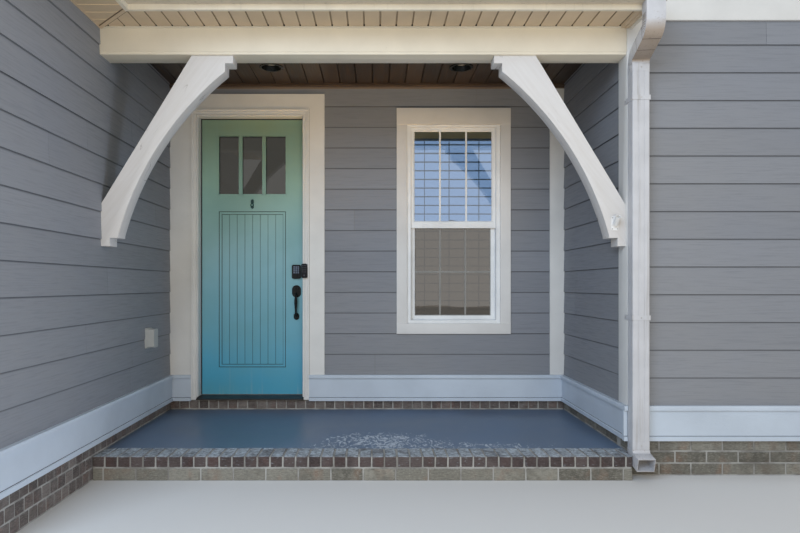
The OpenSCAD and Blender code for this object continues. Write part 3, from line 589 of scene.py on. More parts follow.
def glass_look(name, tint, ior):
    """Faintly rippled glass, not yet finished."""
    look = Look(name, tint, 0.0, Transmission_Weight=1.0, IOR=ior)
    return look, (look.noise(look.place, 2.2, 2), 0.0006)


def door_glass_look():
    look, ripple = glass_look("door_light_glass", (0.05, 0.048, 0.042), 1.5)
    return look.finish(None, ripple)


def window_glass_look():
    """Painted reflections: brown below the meeting rail and blue above it, and a pale painted light
    at the blind's head.
    """
    look, ripple = glass_look("glass", (0.2, 0.24, 0.28), 2.1)
    z = look.parts[2]
    look.start(z, 1.735, 1.745, (0.06, 0.048, 0.034), (0.19, 0.31, 0.52))
    look.over(z, 2.491, 2.494, 1, (0.92, 0.85, 0.62))
    return look.finish(None, ripple)


SIDING = siding_look()
WHITE = paint_look("white_trim", (0.725, 0.725, 0.715))
# Painted shade: a darker copy of the white trim paint
WINDOW_WHITE = paint_look("window_white", (0.67, 0.665, 0.66))
# Painted light: white paint tinted blue for the sky light on the skirts
SKIRT = paint_look("skirt_white", (0.54, 0.61, 0.70))
CREAM = paint_look("cream_trim", (0.76, 0.70, 0.585), (3, 40, 90))
TIMBER = timber_look()
STAINED = stained_look()
STAINED_TRIM = moulding_look()
# Faces darkened as painted shade; tops pale blue as painted sky light
BRICK = brick_look("brick", (0.062, 0.045, 0.045), (0.110, 0.090, 0.086), (0.52, 0.59, 0.66))
WALL_BRICK = brick_look("wall_brick", (0.125, 0.105, 0.100), (0.22, 0.195, 0.18),
    (0.26, 0.26, 0.255))
STONE_BRICK = brick_look("weathered_brick", (0.165, 0.155, 0.130), (0.27, 0.26, 0.225),
    (0.29, 0.29, 0.265))
MORTAR = mortar_look()
FLOOR_PAINT = floor_look()
# The front sheets' grooves take painted shade and the side sheets' grooves painted light
SOFFIT = soffit_look("soffit_vinyl", 0.35)
SOFFIT_SIDE = soffit_look("soffit_vinyl_side", 1.7)
SEAM = plastic_look("soffit_seam", (0.20, 0.15, 0.10), 0.6)
ALUMINIUM = metal_look("white_aluminium", PIPE_WHITE, streaks=0.5)
FASCIA = metal_look("fascia_cover", (0.76, 0.70, 0.585), streaks=0.15)
BRONZE = metal_look("bronze", (0.032, 0.028, 0.027), 0.4)
BLACK = metal_look("black_metal", (0.006, 0.008, 0.009), 0.24, shine=0.22)
STEEL = metal_look("screw_metal", (0.55, 0.54, 0.52), metallic=1.0)
VINYL = plastic_look("white_vinyl", (0.80, 0.82, 0.84))
BLIND = plastic_look("blind", (0.72, 0.69, 0.58), 0.5)
BLACK_PLASTIC = metal_look("black_plastic", (0.008, 0.0085, 0.010), 0.45, shine=0.25)
GREY_PLASTIC = plastic_look("grey_plastic", (0.42, 0.43, 0.425), 0.45, 0.0004)
LOCK_KEYS = plastic_look("pale_keys", (0.15, 0.19, 0.26))
BELL_KEYS = plastic_look("bell_keys", (0.07, 0.075, 0.09))
GRILLE = plastic_look("grille_bars", (0.27, 0.265, 0.25))
CAST_WHITE = metal_look("white_metal", (0.80, 0.80, 0.80), 0.3)
DOOR_PAINT = door_look()
DARK_TEAL = metal_look("dark_teal_metal", (0.012, 0.06, 0.06), 0.3)
GUTTER = metal_look("gutter_metal", (0.60, 0.525, 0.43), streaks=0.4)
ELBOW = elbow_look((1.707, -0.985, 2.679), (1.707, -0.880, 2.6545))
CAULK_AND_SHADE = plastic_look("caulk_and_shade_line", (0.27, 0.245, 0.21), 0.7)
# Painted shade of an open joint
GAP = plastic_look("open_joint_shade", (0.045, 0.047, 0.05), 0.8)
SHINGLES = shingle_look()
DECK = deck_look()
LENS = plastic_look("downlight_lens", (0.62, 0.62, 0.6), 0.35)
GLASS = window_glass_look()
DOOR_GLASS = door_glass_look()


# Finishes of the nodes that keep their shape

def dress(look, *names):
    for name in names:
        slots = nodes[name].data.materials
        slots.clear()
        slots.append(look)


dress(FLOOR_PAINT, "porch_slab")
dress(wall_look("left_wall_faces", (1, 0, 0)), "left_wall")
dress(wall_look("return_wall_faces", (-1, 0, 0)), "return_wall")
dress(wall_look("front_wall_faces", FRONT), "back_wall_left", "back_wall_over_door",
    "back_wall_right", "right_wall")
dress(SKIRT, "skirt_boards")
dress(STAINED_TRIM, "ceiling_moulding")
dress(BLACK, "downlights", "frame_hinges", "leaf_hinges", "keypad_lock", "handle_set")
dress(FASCIA, "fascia")
dress(GUTTER, "gutter_porch", "gutter_left")
dress(ALUMINIUM, "downspout", "downspout_straps")
dress(DECK, "roof_porch", "roof_left")
dress(WHITE, "door_casing", "door_frame", "inside_casings")
dress(BRONZE, "threshold")
dress(VINYL, "window_frame")
dress(GLASS, "window_glass")
dress(BLACK_PLASTIC, "doorbell")
dress(GREY_PLASTIC, "outlet_cover")
dress(CAST_WHITE, "flag_holder")
dress(DOOR_PAINT, "door_leaf")
dress(DOOR_GLASS, "door_glass")
dress(DARK_TEAL, "door_knocker")


# Lap siding

def free_spans(length, holes, z0, z1):
    """What is left of 0..length at heights z0..z1, beside the holes (u0, u1, z0, z1)."""
    spans = [(0.0, length)]
    for u0, u1, h0, h1 in holes:
        if h0 < z1 - 1e-5 and h1 > z0 + 1e-5:
            spans = [s for a, b in spans for s in ((a, min(b, u0)), (max(a, u1), b))
                if s[1] - s[0] > 0.002]
    return spans


def lap_siding(name, origin, along, out, length, z0, z1, holes=(), seed=1):
    """Courses of wedge-shaped boards, each butt in front of the board below."""
    solids, rand = Solids(seed), random.Random(seed)
    origin, along, out = Vector(origin), Vector(along), Vector(out)
    course_z = z0
    while course_z < z1 - 0.005:
        top = course_z + EXPOSURE
        joint = rand.uniform(0.15, 0.85) * BOARD_L
        joints = [j for j in (joint, joint + BOARD_L) if j < length - 0.3]
        gaps = [(j, j + BOARD_GAP, course_z, top) for j in joints]
        tones = [rand.random() for _ in range(len(joints) + 1)]
        edges = {h for hole in holes for h in hole[2:] if course_z < h < min(top, z1)}
        levels = sorted({course_z, min(top, z1), *edges})
        for a, b in zip(levels, levels[1:]):
            t0, t1 = [BUTT_T - (BUTT_T - TUCK_T) * (z - course_z) / EXPOSURE for z in (a, b)]
            section = [out * t + Vector((0, 0, z)) for z, t in ((a, 0), (a, t0), (b, t1), (b, 0))]
            for u0, u1 in free_spans(length, [*holes, *gaps], a, b):
                solids.loft([[origin + along * u + p for p in section] for u in (u0, u1)],
                    tones[sum(u0 > j for j in joints)])
        course_z = top
    solids.build(name, SIDING, slot="siding")


def all_siding():
    casing_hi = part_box("door_casing")[1]
    window_lo, window_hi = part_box("window_casing")
    brace_lo, brace_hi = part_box("brace_left")
    band_lo, band_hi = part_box("band_board")
    heel_z = 1.738                       # top of the brace's foot on the wall
    y0, top = left_lo.y, ceiling_lo.z

    def from_front(a, b, z_low, z_high):
        return (a - y0, b - y0, z_low, z_high)

    lap_siding("siding_left", (slab_x, y0, 0), (0, 1, 0), (1, 0, 0), slab_y - BUTT_T - y0,
        skirt_top, top, [
            from_front(y0 - 1, beam_lo.y, soffit_lo.z, FAR),
            from_front(beam_lo.y, beam_hi.y, beam_lo.z, FAR),
            from_front(brace_lo.y, brace_hi.y, brace_lo.z, heel_z),
            from_front(trim_y, FAR, 0, casing_hi.z),
            from_front(moulding_lo.y, FAR, moulding_lo.z, FAR)], seed=11)
    lap_siding("siding_back", (slab_x, slab_y, 0), (1, 0, 0), FRONT, -2 * slab_x,
        skirt_top, moulding_lo.z, [
            (0, casing_hi.x - slab_x, 0, casing_hi.z),
            (window_lo.x - slab_x, window_hi.x - slab_x, window_lo.z, window_hi.z),
            (-2 * slab_x - BACK_CORNER_W, FAR, 0, FAR)], seed=12)
    start = corner_lo.y + CORNER_LEG
    lap_siding("siding_return", (-slab_x, start, 0), (0, 1, 0), (-1, 0, 0),
        slab_y - BUTT_T - start, skirt_top, top,
        [(trim_y - start, FAR, 0, FAR), (0, beam_hi.y - start, beam_lo.z, FAR)], seed=13)
    for name, x, low, high in (("siding_right", corner_hi.x, skirt_top, band_lo.z),
            ("siding_above_band", -slab_x, band_hi.z, wing_hi.z)):
        lap_siding(name, (x, wing_lo.y, 0), (1, 0, 0), FRONT, wing_hi.x - x, low, high, seed=14)


# Brickwork

def brick_course(bricks, lo, hi, along, shift, length=BRICK_L, jitter=0.0009):
    """One course between two corners, laid along x or y and cut at its ends."""
    k, least = "xy".index(along), 0.012
    at = lo[k] - shift
    while at < hi[k] - least:
        a, b = max(at, lo[k]), min(at + length, hi[k])
        if b - a > least:
            p, q = list(lo), list(hi)
            p[k], q[k] = a, b
            bricks.block(p, q, 0.0032, jitter)
        at += length + BED


def brick_box(bricks, lo, hi, sides, length=BRICK_L, mortar=None):
    """A foundation with bricks on the named sides, and with its mortar where that is given."""
    if mortar:
        inset = Vector((MORTAR_IN, MORTAR_IN, 0))
        mortar.block(lo + inset, hi - inset, 0.001)
    course, z = 0, hi.z - BED - BRICK_H
    while z > lo.z - BRICK_H + 0.01:
        shift = (course % 2) * (length + BED) / 2
        for side in sides:
            p, q = Vector((lo.x, lo.y, max(z, lo.z))), Vector((hi.x, hi.y, z + BRICK_H))
            along = "x" if side in ("front", "back") else "y"
            k = "yx".index(along)
            if side in ("front", "left"):
                q[k] = p[k] + BRICK_D
            else:
                p[k] = q[k] - BRICK_D
            if along == "y":
                p.y += BRICK_D + BED
                q.y -= BRICK_D + BED
            brick_course(bricks, p, q, along, shift, length)
        z -= BRICK_H + BED
        course += 1


def foundations():
    bricks, mortar, headers = Solids(21), Solids(22), Solids(26)
    left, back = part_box("left_foundation"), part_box("back_foundation")
    brick_box(headers, *left, ("right",), HEADER_W)
    brick_box(bricks, *left, ("front", "back", "left"), mortar=mortar)
    brick_box(headers, *back, ("front",), HEADER_W)
    brick_box(bricks, *back, ("back",), mortar=mortar)
    right_lo, right_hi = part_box("right_foundation")
    leg_y = wing_hi.y
    brick_box(bricks, right_lo, Vector((right_hi.x, leg_y, right_hi.z)),
        ("front", "back", "left", "right"), mortar=mortar)
    brick_box(bricks, Vector((right_lo.x, leg_y, 0)),
        Vector((-left[0].x, right_hi.y, right_hi.z)), ("left", "right", "back"), mortar=mortar)
    bricks.build("foundation_bricks", STONE_BRICK, slot="brickwork")
    headers.build("foundation_headers", WALL_BRICK, slot="brickwork")
    mortar.build("foundation_mortar", MORTAR, slot="brickwork",
        replaces=("left_foundation", "back_foundation", "right_foundation"))


def edging():
    """Bricks on edge over one flat course."""
    on_edge, flat, bed = Solids(23), Solids(24), Solids(25)
    x0, y0, x1, y1 = edging_lo.x, edging_lo.y, edging_hi.x, edging_hi.y
    step_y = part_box("right_foundation")[0].y
    row_z, bed_z = floor_top - BRICK_H, floor_top - 0.0035
    course_z = row_z - BED
    brick_course(on_edge, (x0, y0, row_z), (EDGE_END_X, y1, floor_top), "x", 0.0, ROWLOCK_W, 0.0012)
    on_edge.block((EDGE_END_X + 0.002, step_y, row_z), (x1, y1, floor_top), 0.003)
    brick_course(flat, (x0, y0, 0.0), (EDGE_END_X, y0 + 0.09, course_z), "x", 0.133)
    brick_course(flat, (EDGE_END_X - BRICK_D, y0 + 0.1, 0.0), (EDGE_END_X, y1, course_z), "y", 0.0)
    bed.block((x0, y0 + MORTAR_IN, 0), (EDGE_END_X - MORTAR_IN, y1, bed_z), 0.001)
    bed.block((EDGE_END_X - 0.02, step_y + MORTAR_IN, 0), (x1, y1, bed_z), 0.001)
    on_edge.build("edging_bricks", BRICK, slot="brickwork")
    flat.build("edging_course", STONE_BRICK, slot="brickwork")
    bed.build("edging_mortar", MORTAR, slot="brickwork", replaces=("brick_edging",))


# Ceiling and soffit

def ceiling_boards():
    boards, holes, lenses = Solids(31), Solids(32), Solids(33)
    z0, z1, bevel, gap, pitch = ceiling_lo.z, ceiling_hi.z, 0.006, 0.0015, 0.138
    x = ceiling_lo.x - 0.05
    while x < ceiling_hi.x:
        a, b = max(x + gap, ceiling_lo.x), min(x + pitch, ceiling_hi.x)
        boards.prism([(a, z1), (a, z0 + bevel), (a + bevel, z0), (b - bevel, z0),
            (b, z0 + bevel), (b, z1)], "y", ceiling_lo.y, ceiling_hi.y)
        x += pitch
    obj = boards.build("ceiling_boards", STAINED, slot="stained_boards", replaces=("ceiling",))
    lamp_lo, lamp_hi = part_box("downlights")
    hole_r, ring_r, lens_r = 0.080, (lamp_hi.y - lamp_lo.y) / 2, 0.060
    y = lamp_lo.y + ring_r
    for x in (lamp_lo.x + ring_r, lamp_hi.x - ring_r):
        holes.turned([(hole_r, 0), (hole_r, 0.2)], (x, y, z0 - 0.1), UP, 40)
        lenses.turned([(lens_r - 0.0015, 0), (lens_r, 0.004), (lens_r, 0.008)],
            (x, y, z0 + 0.036), UP, 32)
    cut_away(obj, holes)
    lenses.build("downlight_lenses", LENS, slot="white_metal", smooth=True)


def cut_away(obj, solids):
    """Cuts the solids out of a finished piece."""
    cutter = solids.build("cutter", STAINED)
    cut = obj.modifiers.new("light_holes", "BOOLEAN")
    cut.object, cut.operation, cut.solver = cutter, "DIFFERENCE", "EXACT"
    graph = bpy.context.evaluated_depsgraph_get()
    made = bpy.data.meshes.new_from_object(obj.evaluated_get(graph))
    obj.modifiers.clear()
    obj.data = made
    bpy.data.objects.remove(cutter)


RIB_PITCH, RIB_W, RIB_D, SHEET_T = 0.1016, 0.011, 0.008, 0.0015


def ribbed_sheet(a, b):
    """Section of a soffit sheet between two places, with a groove at each pitch."""
    z = soffit_lo.z
    lower, at = [(a, z)], math.ceil(a / RIB_PITCH) * RIB_PITCH
    while at < b - RIB_W:
        if at > a + RIB_W:
            lower += [(at + RIB_W * u, z + h)
                for u, h in ((-0.5, 0), (-0.25, RIB_D), (0.25, RIB_D), (0.5, 0))]
        at += RIB_PITCH
    lower.append((b, z))
    return lower + [(u, w + SHEET_T) for u, w in reversed(lower)]


def soffit_panels():
    """Ribbed sheets that meet in a mitre, and the channels that hold their edges."""
    eave_in_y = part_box("gutter_porch")[1].y + FASCIA_T
    left_in_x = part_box("gutter_left")[0].x - FASCIA_T
    z, end_x, wall_y = soffit_lo.z, soffit_hi.x, corner_lo.y
    corner_out, corner_in = Vector((left_in_x, eave_in_y, z)), Vector((slab_x, beam_lo.y, z))
    run = (corner_in - corner_out).normalized()
    to_left = Vector((-run.y, run.x, 0))
    front, left = Solids(41), Solids(42)
    front.prism(ribbed_sheet(slab_x, corner_face_x), "y", eave_in_y, beam_lo.y, 0.5)
    left.prism(ribbed_sheet(left_lo.y, beam_lo.y), "x", slab_x, left_in_x, 0.5)
    front.clip(corner_out, to_left)
    left.clip(corner_out, -to_left)
    front.build("soffit_front", SOFFIT, slot="soffit_vinyl", replaces=("soffit",))
    left.build("soffit_left", SOFFIT_SIDE, slot="soffit_vinyl")

    trim, strips, seams, mouths = Solids(43), Solids(45), Solids(46), Solids(44)
    drop, w, flange = 0.004, 0.016, 0.025
    low, strip_x, trim_front_y = z - drop, end_x - 2 * flange, beam_lo.y - flange
    trim.block((slab_x + w, trim_front_y, low), (strip_x, beam_lo.y, z), 0.001)
    for lo, hi in (((slab_x, left_lo.y, low), (slab_x + w, beam_lo.y, z)),
            ((strip_x, eave_in_y, low), (end_x, wall_y, z)),
            ((end_x - flange, eave_in_y, low - drop), (end_x, wall_y, low))):
        strips.block(lo, hi, 0.001, tone=0.5)
    for solids, half_w, deep in ((strips, 0.012, 0.005), (seams, 0.017, 0.0035)):
        side, down, short = to_left * half_w, Vector((0, 0, -deep)), run * 0.004
        solids.loft([[p + side + down, p - side + down, p - side, p + side]
            for p in (corner_out + short, corner_in - short)], 0.5)
    seams.block((slab_x + w, trim_front_y - 0.002, z - 0.001), (strip_x, trim_front_y, z), 0.0003)

    # Painted shade: a dark block in the mouth of each groove in front of the beam's channel
    mouth_d, half_w = 0.009, RIB_W * 0.4
    x = (math.floor(slab_x / RIB_PITCH) + 1) * RIB_PITCH
    while x < strip_x - RIB_W:
        mouths.block((x - half_w, trim_front_y - mouth_d, z - 0.0006),
            (x + half_w, trim_front_y, z + RIB_D), 0.0004)
        x += RIB_PITCH
    trim.build("soffit_channels", CREAM, slot="soffit_vinyl")
    strips.build("soffit_mitre", SOFFIT, slot="soffit_vinyl")
    seams.build("soffit_seams", SEAM, slot="soffit_vinyl")
    mouths.build("soffit_groove_end_shade", BLACK_PLASTIC, slot="soffit_vinyl")


# Roof

def shingle_plane(solids, rand, start, stop, run0, end, place):
    """Staggered tabs from the eave at start up to stop. end gives where a course that stops at
    a given place ends; place turns (run, up, height) into a point."""
    exposure, tab_w, tab_t = 0.143, 0.165, 0.006
    step, course = exposure / math.hypot(1, ROOF_PITCH), 0
    while start + course * step < stop - 0.01:
        a = start + course * step
        b = min(a + step * 1.02, stop)
        at, run1 = run0 - rand.uniform(0, tab_w), end(b)
        while at < run1:
            width = tab_w * rand.choice((0.7, 1.0, 1.3))
            u0, u1 = max(at + 0.0015, run0), min(at + width, run1)
            thick = tab_t * rand.choice((1.0, 1.7))
            if u1 - u0 > 0.01:
                solids.loft([[place(u, v, h) for v, h in
                    ((a, 0.0005), (a, thick), (b, 0.0025), (b, 0.0005))] for u in (u0, u1)])
            at += width
        course += 1


ROOF_PITCH, DECK_T = 0.4167, 0.027


def roof_cover():
    """Shingles on both planes, cut at the valley, drip edges at the eaves and a flashing."""
    deck_lo, deck_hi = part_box("roof_porch")
    side_lo, side_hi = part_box("roof_left")
    eave_z = deck_lo.z + DECK_T
    rand, front, left, edge = random.Random(51), Solids(52), Solids(53), Solids(54)
    shingle_plane(front, rand, deck_lo.y, deck_hi.y, deck_lo.x,
        lambda v: deck_hi.x if v < corner_lo.y - 0.003 else -slab_x,
        lambda u, v, h: (u, v, eave_z + (v - deck_lo.y) * ROOF_PITCH + h))
    shingle_plane(left, rand, -side_hi.x, -side_lo.x, side_lo.y, lambda v: side_hi.y,
        lambda u, v, h: (-v, u, eave_z + (v + side_hi.x) * ROOF_PITCH + h))
    valley = Vector((0, side_hi.x + deck_lo.y, 0))
    front.clip(valley, Vector((-1, -1, 0)).normalized())
    left.clip(valley, Vector((1, 1, 0)).normalized())
    front.build("shingles_porch", SHINGLES, slot="shingles")
    left.build("shingles_left", SHINGLES, slot="shingles")

    def drip(at, inward, lip=0.034, t=0.0015, w=0.05):
        return [(at + inward * u, eave_z + h) for u, h in
            ((-t, -lip), (0, -lip), (0, 0), (w, w * ROOF_PITCH + 0.0006), (-t, 0.001))]

    edge.prism(drip(deck_lo.y, 1), "x", side_hi.x, deck_hi.x, 0.5)
    edge.prism(drip(side_hi.x, -1), "y", side_lo.y, deck_lo.y, 0.5)
    foot, head = [(y, eave_z + (y - deck_lo.y) * ROOF_PITCH) for y in (wing_hi.y, deck_hi.y)]
    edge.prism([(y, z + up) for (y, z), up in
        ((foot, 0.006), (head, 0.006), (head, 0.07), (foot, 0.07))],
        "x", -slab_x - 0.0015, -slab_x, 0.5)
    edge.build("roof_flashing", FASCIA, slot="cream_trim")


# Gutters and downspout

def gutter_hangers():
    gutter_lo, gutter_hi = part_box("gutter_porch")
    side_lo, side_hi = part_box("gutter_left")
    clips, spacing, half_w = Solids(61), 0.6, 0.012
    z0, z1 = gutter_hi.z - 0.012, gutter_hi.z - 0.009
    x, y = side_lo.x + 0.45, side_lo.y + 0.3
    while x < gutter_hi.x - 0.1:
        clips.block((x - half_w, gutter_lo.y + 0.004, z0), (x + half_w, gutter_hi.y, z1), 0.0005)
        clips.screw((x, gutter_hi.y - 0.001, z0 - 0.010), FRONT)
        x += spacing
    while y < gutter_lo.y - 0.05:
        clips.block((side_lo.x, y - half_w, z0), (side_hi.x - 0.004, y + half_w, z1), 0.0005)
        y += spacing
    clips.build("gutter_hangers", STEEL, slot="white_aluminium")


def downspout_details():
    """Collars where the pipe meets its elbows, and the screws of collars and straps."""
    collars, screws = Solids(62), Solids(63)
    proud, middle = 0.0012, (pipe_lo + pipe_hi) / 2
    w, d = pipe_hi.x - pipe_lo.x, pipe_hi.y - pipe_lo.y
    outer = round_loop(middle, w + 2 * proud, d + 2 * proud, 0.010)
    inner = round_loop(middle, w, d, 0.009)
    for z0, z1 in ((pipe_hi.z - 0.05, pipe_hi.z - 0.004), (pipe_lo.z + 0.004, pipe_lo.z + 0.05)):
        collars.loft([[(*p, z) for p in loop] for loop, z in
            ((outer, z0), (outer, z1), (inner, z1), (inner, z0))], 0.5, ends=False)
    collars.build("downspout_collars", ALUMINIUM, slot="white_aluminium", smooth=True)
    strap_lo, strap_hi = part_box("downspout_straps")
    mid_z = 0.015
    for z in (strap_hi.z - mid_z, strap_lo.z + mid_z):
        screws.screw((strap_hi.x - 0.009, corner_lo.y - 0.003, z), FRONT, 0.005)
        screws.screw((strap_lo.x, corner_lo.y + 0.016, z), (-1, 0, 0), 0.005)
        screws.screw((middle.x, strap_lo.y, z), FRONT)
    for z in (pipe_hi.z - 0.025, pipe_lo.z + 0.025):
        screws.screw((pipe_lo.x - proud, middle.y, z), (-1, 0, 0))
        screws.screw((middle.x, pipe_lo.y - proud, z), FRONT)
    screws.build("downspout_screws", STEEL, slot="white_aluminium", smooth=True)


def round_loop(middle, w, d, r, n=5):
    """Points round a rectangle with round corners, in x and y."""
    loop = []
    for k, (sx, sy) in enumerate(((1, 1), (-1, 1), (-1, -1), (1, -1))):
        for i in range(n + 1):
            a = math.radians(90 * (k + i / n))
            loop.append((middle.x + sx * (w / 2 - r) + r * math.cos(a),
                middle.y + sy * (d / 2 - r) + r * math.sin(a)))
    return loop


FOLD_N, STRAIGHT_FOLDS, FOLD_STEP = 7, 4, 0.010
BEND_Y, BEND_Z, BEND_TURN = -0.959, 2.781, 75        # middle and angle of the upper bend
SIDE_Y, SIDE_LEAN = -1.062, 0.1045                   # where its side is outermost, and its twist


def elbow_folds():
    """Crimps that run out over the left side of the upper bend, with painted shade, and some dirt,
    between them.
    """
    side_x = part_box("downspout_elbows")[0].x

    def place(radius, angle, along, out):
        y = BEND_Y - radius * math.cos(angle) + along * math.sin(angle)
        z = BEND_Z - radius * math.sin(angle) - along * math.cos(angle)
        return (side_x + SIDE_LEAN * (y - SIDE_Y) - out, y, z)

    folds = [(0.0, -FOLD_STEP * (k + 0.5)) for k in reversed(range(STRAIGHT_FOLDS))]
    folds += [(math.radians(BEND_TURN) * k / FOLD_N, 0.0) for k in range(1, FOLD_N + 1)]
    near, far, sunk = 0.027, 0.088, -0.0003
    # The second row is dark strips between the crimps: painted shade, with some dirt
    for name, look, seed, shift, w, proud in (("elbow_folds", ELBOW, 64, 0.0, 0.0028, 0.0013),
            ("elbow_fold_dirt_and_shade", SEAM, 65, 0.0050, 0.0030, 0.0009)):
        solids = Solids(seed)
        for angle, drop in folds:
            mid = drop + shift
            base = [place(radius, angle, mid + side, sunk) for radius, side in
                ((near, -w), (near, w), (far, w / 2), (far, -w / 2))]
            top = [place(radius, angle, mid, proud) for radius in (near + 0.003, far - 0.012)]
            solids.add(base + top,
                [[0, 1, 2, 3], [0, 3, 5, 4], [1, 4, 5, 2], [0, 4, 1], [3, 2, 5]])
        solids.build(name, look, slot="white_aluminium")


# Beam, braces and trim

def long_corner(edge):
    """True on the pipe's own corners, between a flat side and the folds of the bends."""
    sizes = sorted(len(f.verts) for f in edge.link_faces)
    return sizes[0] <= 6 < 12 < sizes[1]


def worn_copy(node, name, look, width, slot, segments=2, wanted=lambda edge: True):
    """A copy of a node with its wanted edges rounded, which stands for the node."""
    mesh = nodes[node].data.copy()
    obj = new_object(name, mesh)
    bm = bmesh.new()
    bm.from_mesh(mesh)
    bmesh.ops.remove_doubles(bm, verts=bm.verts[:], dist=1e-5)
    bmesh.ops.dissolve_limit(bm, angle_limit=math.radians(1), verts=bm.verts[:],
        edges=bm.edges[:])
    sharp = [e for e in bm.edges if len(e.link_faces) == 2
        and e.calc_face_angle(0) > math.radians(25) and wanted(e)]
    bmesh.ops.bevel(bm, geom=sharp, offset=width, segments=segments, affect="EDGES",
        clamp_overlap=True, profile=0.6)
    bm.to_mesh(mesh)
    bm.free()
    mesh.shade_smooth()
    mesh.set_sharp_from_angle(angle=math.radians(30))
    seat(obj, look, PORCH, slot, (node,))


def rounded_trim():
    for row in (
            ("brace_left", "left_brace_timber", TIMBER, 0.004, "painted_timber"),
            ("brace_right", "right_brace_timber", TIMBER, 0.004, "painted_timber"),
            ("beam", "beam_boards", CREAM, 0.0025, "cream_trim"),
            ("corner_boards", "corner_trim", WHITE, 0.002, "white_trim"),
            ("window_casing", "window_trim", WINDOW_WHITE, 0.002, "white_trim"),
            ("band_board", "band_trim", WHITE, 0.002, "white_trim"),
            ("upper_sash", "upper_sash_frame", VINYL, 0.002, "white_vinyl"),
            ("lower_sash", "lower_sash_frame", VINYL, 0.002, "white_vinyl"),
            ("downspout_elbows", "elbows", ELBOW, 0.0058, "white_aluminium", 3, long_corner)):
        worn_copy(*row)


def skirt_gap_shade():
    """Dark strips on the face that stand for the shade in the open joint between each skirt board
    and the lip below it: painted shade.
    """
    gap_h, face_out, cap_out, proud, deep = 0.0036, 0.028, 0.044, 0.0006, 0.003
    x0, x1 = slab_x + face_out, -slab_x - face_out
    back_y, front_y = slab_y - face_out, wing_lo.y - face_out
    z0 = sill_lo.z + 0.0192                  # where the lip's top meets the board
    z1 = z0 + gap_h
    gaps = Solids(66)
    gaps.block((x0 - deep, left_lo.y, z0), (x0 + proud, back_y, z1), 0.0002)
    gaps.block((x1 - proud, front_y, z0), (x1 + deep, back_y, z1), 0.0002)
    for start, end, y in ((x0, sill_lo.x - FOOT_W, back_y), (sill_hi.x + FOOT_W, x1, back_y),
            (-slab_x - cap_out, pipe_lo.x - deep, front_y),
            (pipe_hi.x + deep, wing_hi.x, front_y)):
        gaps.block((start, y - proud, z0), (end, y + deep, z1), 0.0002)
    gaps.build("skirt_gap_shade", GAP, slot="white_trim")


# Window

BAR_W, BAR_T = 0.016, 0.007
BEAD_IN, BEAD_D = 0.007, 0.008
UPPER_LIGHT = (0.4045, 1.0855, 1.770, 2.557)    # x0, x1, z0, z1 of the glass that shows
LOWER_LIGHT = (0.4145, 1.0755, 0.956, 1.714)


def window_bars():
    """Glazing bars and sloping beads in front of each glass."""
    for sash, seed, (x0, x1, z0, z1), look in (("upper", 71, UPPER_LIGHT, VINYL),
            ("lower", 72, LOWER_LIGHT, GRILLE)):
        bars, sash_y = Solids(seed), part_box(sash + "_sash")[0].y
        bead_y, front = sash_y + 0.001, sash_y + BEAD_D
        for k in (1, 2):
            x = x0 + (x1 - x0) * k / 3
            bars.block((x - BAR_W / 2, front - BAR_T, z0), (x + BAR_W / 2, front, z1), 0.002)
        if sash == "lower":
            z = (z0 + z1) / 2
            bars.block((x0, front - BAR_T + 0.0005, z - BAR_W / 2), (x1, front, z + BAR_W / 2),
                0.002)
        for z, s in ((z0, 1), (z1, -1)):
            bars.prism([(bead_y, z), (front, z), (front, z + s * BEAD_IN)], "x", x0, x1, 0.5)
        for x, s in ((x0, 1), (x1, -1)):
            bars.prism([(x, bead_y), (x, front), (x + s * BEAD_IN, front)], "z", z0, z1, 0.5)
        if sash == "upper":
            sash_hardware(bars, (x0 + x1) / 2)
        bars.build(sash + "_grilles", look, slot="white_vinyl")


def sash_hardware(solids, mid_x):
    """Lock on the meeting rail and two finger lifts on the lower rail, inside."""
    lower_lo, lower_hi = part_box("lower_sash")
    lift_z, lift_h, y, top = lower_lo.z + 0.014, 0.007, lower_hi.y, lower_hi.z
    solids.block((mid_x - 0.035, y - 0.026, top), (mid_x + 0.035, y - 0.004, top + 0.012), 0.003)
    solids.block((mid_x - 0.03, y - 0.02, top + 0.012), (mid_x + 0.012, y - 0.008, top + 0.018),
        0.003)
    for x in (mid_x - 0.2, mid_x + 0.2):
        solids.block((x - 0.04, y, lift_z), (x + 0.04, y + 0.012, lift_z + lift_h), 0.002)


SLAT_TOP_Z, SLAT_PITCH, SLAT_N = 2.458, 0.0765, 21
HEADRAIL_Z = 2.493
BLIND_PAST = 0.024                      # the slats run on behind the sash on both sides
CORD_X = (0.505, 0.722, 0.985)


